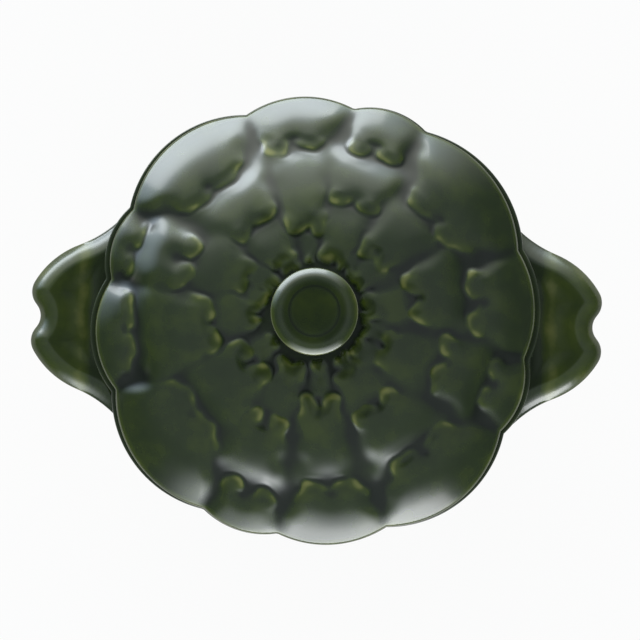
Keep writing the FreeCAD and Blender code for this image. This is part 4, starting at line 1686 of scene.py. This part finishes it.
@dataclass(frozen=True)
class Studio:
    """Floor, lamps, white background and the camera that looks almost straight down.

    Attributes:
        lamps: The soft lamps.
        room_light: Colours of the room from the floor's level up to overhead.
        glows: Where the room glows low down.
        floor_size: Side of the square floor, in metres.
        floor_drop: How far the floor lies under the foot, in millimetres, so that no two faces coincide.
        floor_glow: How white the floor is where it is seen.
        camera_distance: Distance of the camera from the rim, in metres.
        tilt: How far the camera stands to the front, in degrees.
        side: How far it stands to the right.
        roll: How far it is turned.
        frame_width: Width of the picture at the rim, in metres.
        sensor: Width of its sensor, in millimetres.
        picture_pixels: Width of the picture in pixels.
        axis_pixel: Where the pot's axis is seen across the picture.
    """

    lamps: tuple = (
        Softbox("back_softbox", (-0.4, 1.02, 0.16), (0, 0, 0.1), 1.6, 0.24, 4.5),
        Softbox("front_softbox", (0.2, -1.08, 0.16), (0, 0, 0.1), 1.3, 0.24, 5),
    )
    room_light: tuple = (
        Stop(0.0, "#4e5658"), Stop(0.5, "#a2abad"), Stop(0.86, "#abb4b6"), Stop(1.0, "#565c5e"),
    )
    glows: tuple = (
        Glow(towards=100, side_from=0.4, side_to=1.0, top=0.96, full_at=0.2, strength=2.4, colour="#f1f5ea"),
        Glow(towards=114, side_from=0.45, side_to=1.0, top=0.36, full_at=0.0, strength=5.6, colour="#cfe4f8"),
        Glow(towards=-88, side_from=0.66, side_to=1.0, top=0.46, full_at=0.04, strength=6.8,
             colour="#eef4f8"),
    )
    floor_size: float = 3.0
    floor_drop: float = 0.1
    floor_glow: float = 0.94
    camera_distance: float = 1.2
    tilt: float = 3.3
    side: float = 0.65
    roll: float = 1.24
    frame_width: float = 0.185
    sensor: float = 36.0
    picture_pixels: int = 640
    axis_pixel: int = 316

    def build(self) -> None:
        """Sets up the studio."""
        self.floor()
        self.world()
        for lamp in self.lamps:
            self.lamp(lamp)
        self.camera()
        bpy.context.scene.view_settings.view_transform = "Standard"

    @staticmethod
    def background_test(tree: bpy.types.NodeTree) -> bpy.types.NodeSocket:
        """Tells whether the background is seen, directly or in a glossy or clear surface.

        Args:
            tree: The tree that asks.

        Returns:
            A socket that is 1 where it is seen.
        """
        path = add_node(tree, "ShaderNodeLightPath")
        seen = path.outputs["Is Camera Ray"]
        for way in ("Is Glossy Ray", "Is Transmission Ray"):
            both = add_node(tree, "ShaderNodeMath", {0: seen, 1: path.outputs[way]}, operation="MAXIMUM")
            seen = both.outputs["Value"]
        return seen

    def floor(self) -> None:
        """Lays the pale paper under the pot."""
        deselect_all()
        bpy.ops.mesh.primitive_plane_add(size=self.floor_size, location=(0, 0, -self.floor_drop * MM))
        floor = bpy.context.object
        floor.name = "studio_floor"
        # Matt white paper, which takes the pot's soft shadow and is seen nearly white.
        material, tree = empty_material("matt_white_paper")
        paper = add_node(tree, "ShaderNodeBsdfDiffuse", {"Color": linear("#f2f2f2")})
        glow = add_node(tree, "ShaderNodeEmission", {"Color": linear("#ffffff"), "Strength": 1.0})
        share = add_node(
            tree, "ShaderNodeMath", {0: self.background_test(tree), 1: self.floor_glow}, operation="MULTIPLY",
        )
        mix = add_node(
            tree, "ShaderNodeMixShader",
            {"Fac": share.outputs["Value"], 1: paper.outputs["BSDF"], 2: glow.outputs["Emission"]},
        )
        add_node(tree, "ShaderNodeOutputMaterial", {"Surface": mix.outputs["Shader"]})
        floor.data.materials.append(material)

    def world(self) -> None:
        """A soft room, dim overhead and glowing low at the back and front, that the camera sees as white."""
        world = bpy.data.worlds.new("studio_room")
        bpy.context.scene.world = world
        world.use_nodes = True
        tree = world.node_tree
        tree.nodes.clear()
        way = add_node(tree, "ShaderNodeTexCoord").outputs["Generated"]
        height = add_node(tree, "ShaderNodeSeparateXYZ", {"Vector": way}).outputs["Z"]
        ramp = add_node(tree, "ShaderNodeValToRGB", {"Fac": height})
        set_ramp(ramp, self.room_light)
        room = add_node(tree, "ShaderNodeBackground", {"Color": ramp.outputs["Color"], "Strength": 1.0})
        light = room.outputs["Background"]
        for glow in self.glows:
            shine = self.shine(tree, glow, way, height)
            light = add_node(tree, "ShaderNodeAddShader", {0: light, 1: shine}).outputs["Shader"]
        path = add_node(tree, "ShaderNodeLightPath")
        seen = add_node(tree, "ShaderNodeBackground", {"Color": linear("#ffffff"), "Strength": 1.0})
        mix = add_node(
            tree, "ShaderNodeMixShader",
            {"Fac": path.outputs["Is Camera Ray"], 1: light, 2: seen.outputs["Background"]},
        )
        add_node(tree, "ShaderNodeOutputWorld", {"Surface": mix.outputs["Shader"]})

    @staticmethod
    def shine(tree: bpy.types.NodeTree, glow: Glow, way: bpy.types.NodeSocket,
              height: bpy.types.NodeSocket) -> bpy.types.NodeSocket:
        """Light of one glow.

        Args:
            tree: The world's tree.
            glow: The glow.
            way: Direction that is looked in.
            height: Its height.

        Returns:
            The glow's shader socket.
        """
        turned = add_node(
            tree, "ShaderNodeVectorMath", {0: way, 1: (*polar(glow.towards, 1), 0)}, operation="DOT_PRODUCT",
        )
        sideways = add_node(
            tree, "ShaderNodeMapRange",
            {"Value": turned.outputs["Value"], "From Min": glow.side_from, "From Max": glow.side_to},
            interpolation_type="SMOOTHSTEP",
        )
        low = add_node(
            tree, "ShaderNodeMapRange", {"Value": height, "From Min": glow.top, "From Max": glow.full_at},
            interpolation_type="SMOOTHSTEP",
        )
        share = add_node(
            tree, "ShaderNodeMath", {0: sideways.outputs["Result"], 1: low.outputs["Result"]},
            operation="MULTIPLY",
        )
        strength = add_node(
            tree, "ShaderNodeMath", {0: share.outputs["Value"], 1: glow.strength}, operation="MULTIPLY",
        )
        shine = add_node(
            tree, "ShaderNodeBackground",
            {"Color": linear(glow.colour), "Strength": strength.outputs["Value"]},
        )
        return shine.outputs["Background"]

    @staticmethod
    def lamp(softbox: Softbox) -> None:
        """Adds one soft lamp.

        Args:
            softbox: The lamp.
        """
        deselect_all()
        bpy.ops.object.light_add(type="AREA", location=softbox.place)
        lamp = bpy.context.object
        lamp.name = softbox.name
        lamp.data.shape = "RECTANGLE"
        lamp.data.size = softbox.width
        lamp.data.size_y = softbox.height
        lamp.data.energy = softbox.power
        aim = Vector(softbox.aim) - Vector(softbox.place)
        lamp.rotation_euler = aim.to_track_quat("-Z", "Y").to_euler()

    def camera(self) -> None:
        """Sets the camera above the pot, tilted and turned a little, as the photograph was taken."""
        tilt, side, roll = (math.radians(angle) for angle in (self.tilt, self.side, self.roll))
        away = Vector((math.tan(side), -math.tan(tilt), 1)).normalized()
        up = Vector((0, 1, 0))
        up = (up - away * up.dot(away)).normalized()
        right = up.cross(away)
        turned_up = up * math.cos(roll) + right * -math.sin(roll)
        turned_right = turned_up.cross(away)
        bpy.ops.object.camera_add()
        camera = bpy.context.object
        camera.name = "photo_camera"
        camera.data.sensor_width = self.sensor
        camera.data.lens = self.sensor * self.camera_distance / self.frame_width
        camera.data.clip_end = 20
        beside = (self.picture_pixels / 2 - self.axis_pixel) * self.frame_width / self.picture_pixels
        centre = Vector((0, 0, SIZES.rim_height * MM)) + turned_right * beside
        matrix = np.eye(4)
        columns = (turned_right, turned_up, away, centre + away * self.camera_distance)
        for number, column in enumerate(columns):
            matrix[:3, number] = column
        camera.matrix_world = Matrix(matrix.tolist())
        bpy.context.scene.camera = camera


def main() -> None:
    """Builds the glazed dutch oven and its studio."""
    logging.basicConfig(level=logging.INFO)
    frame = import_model()
    LOG.info("the frame has %d nodes", len(frame["nodes"]))
    glaze = glazed_stoneware(OliveGlaze(), BareStoneware())
    Lid(LidRelief()).build(glaze)
    Pot(SideRelief()).build(glaze)
    Studio().build()


if __name__ == "__main__":
    main()
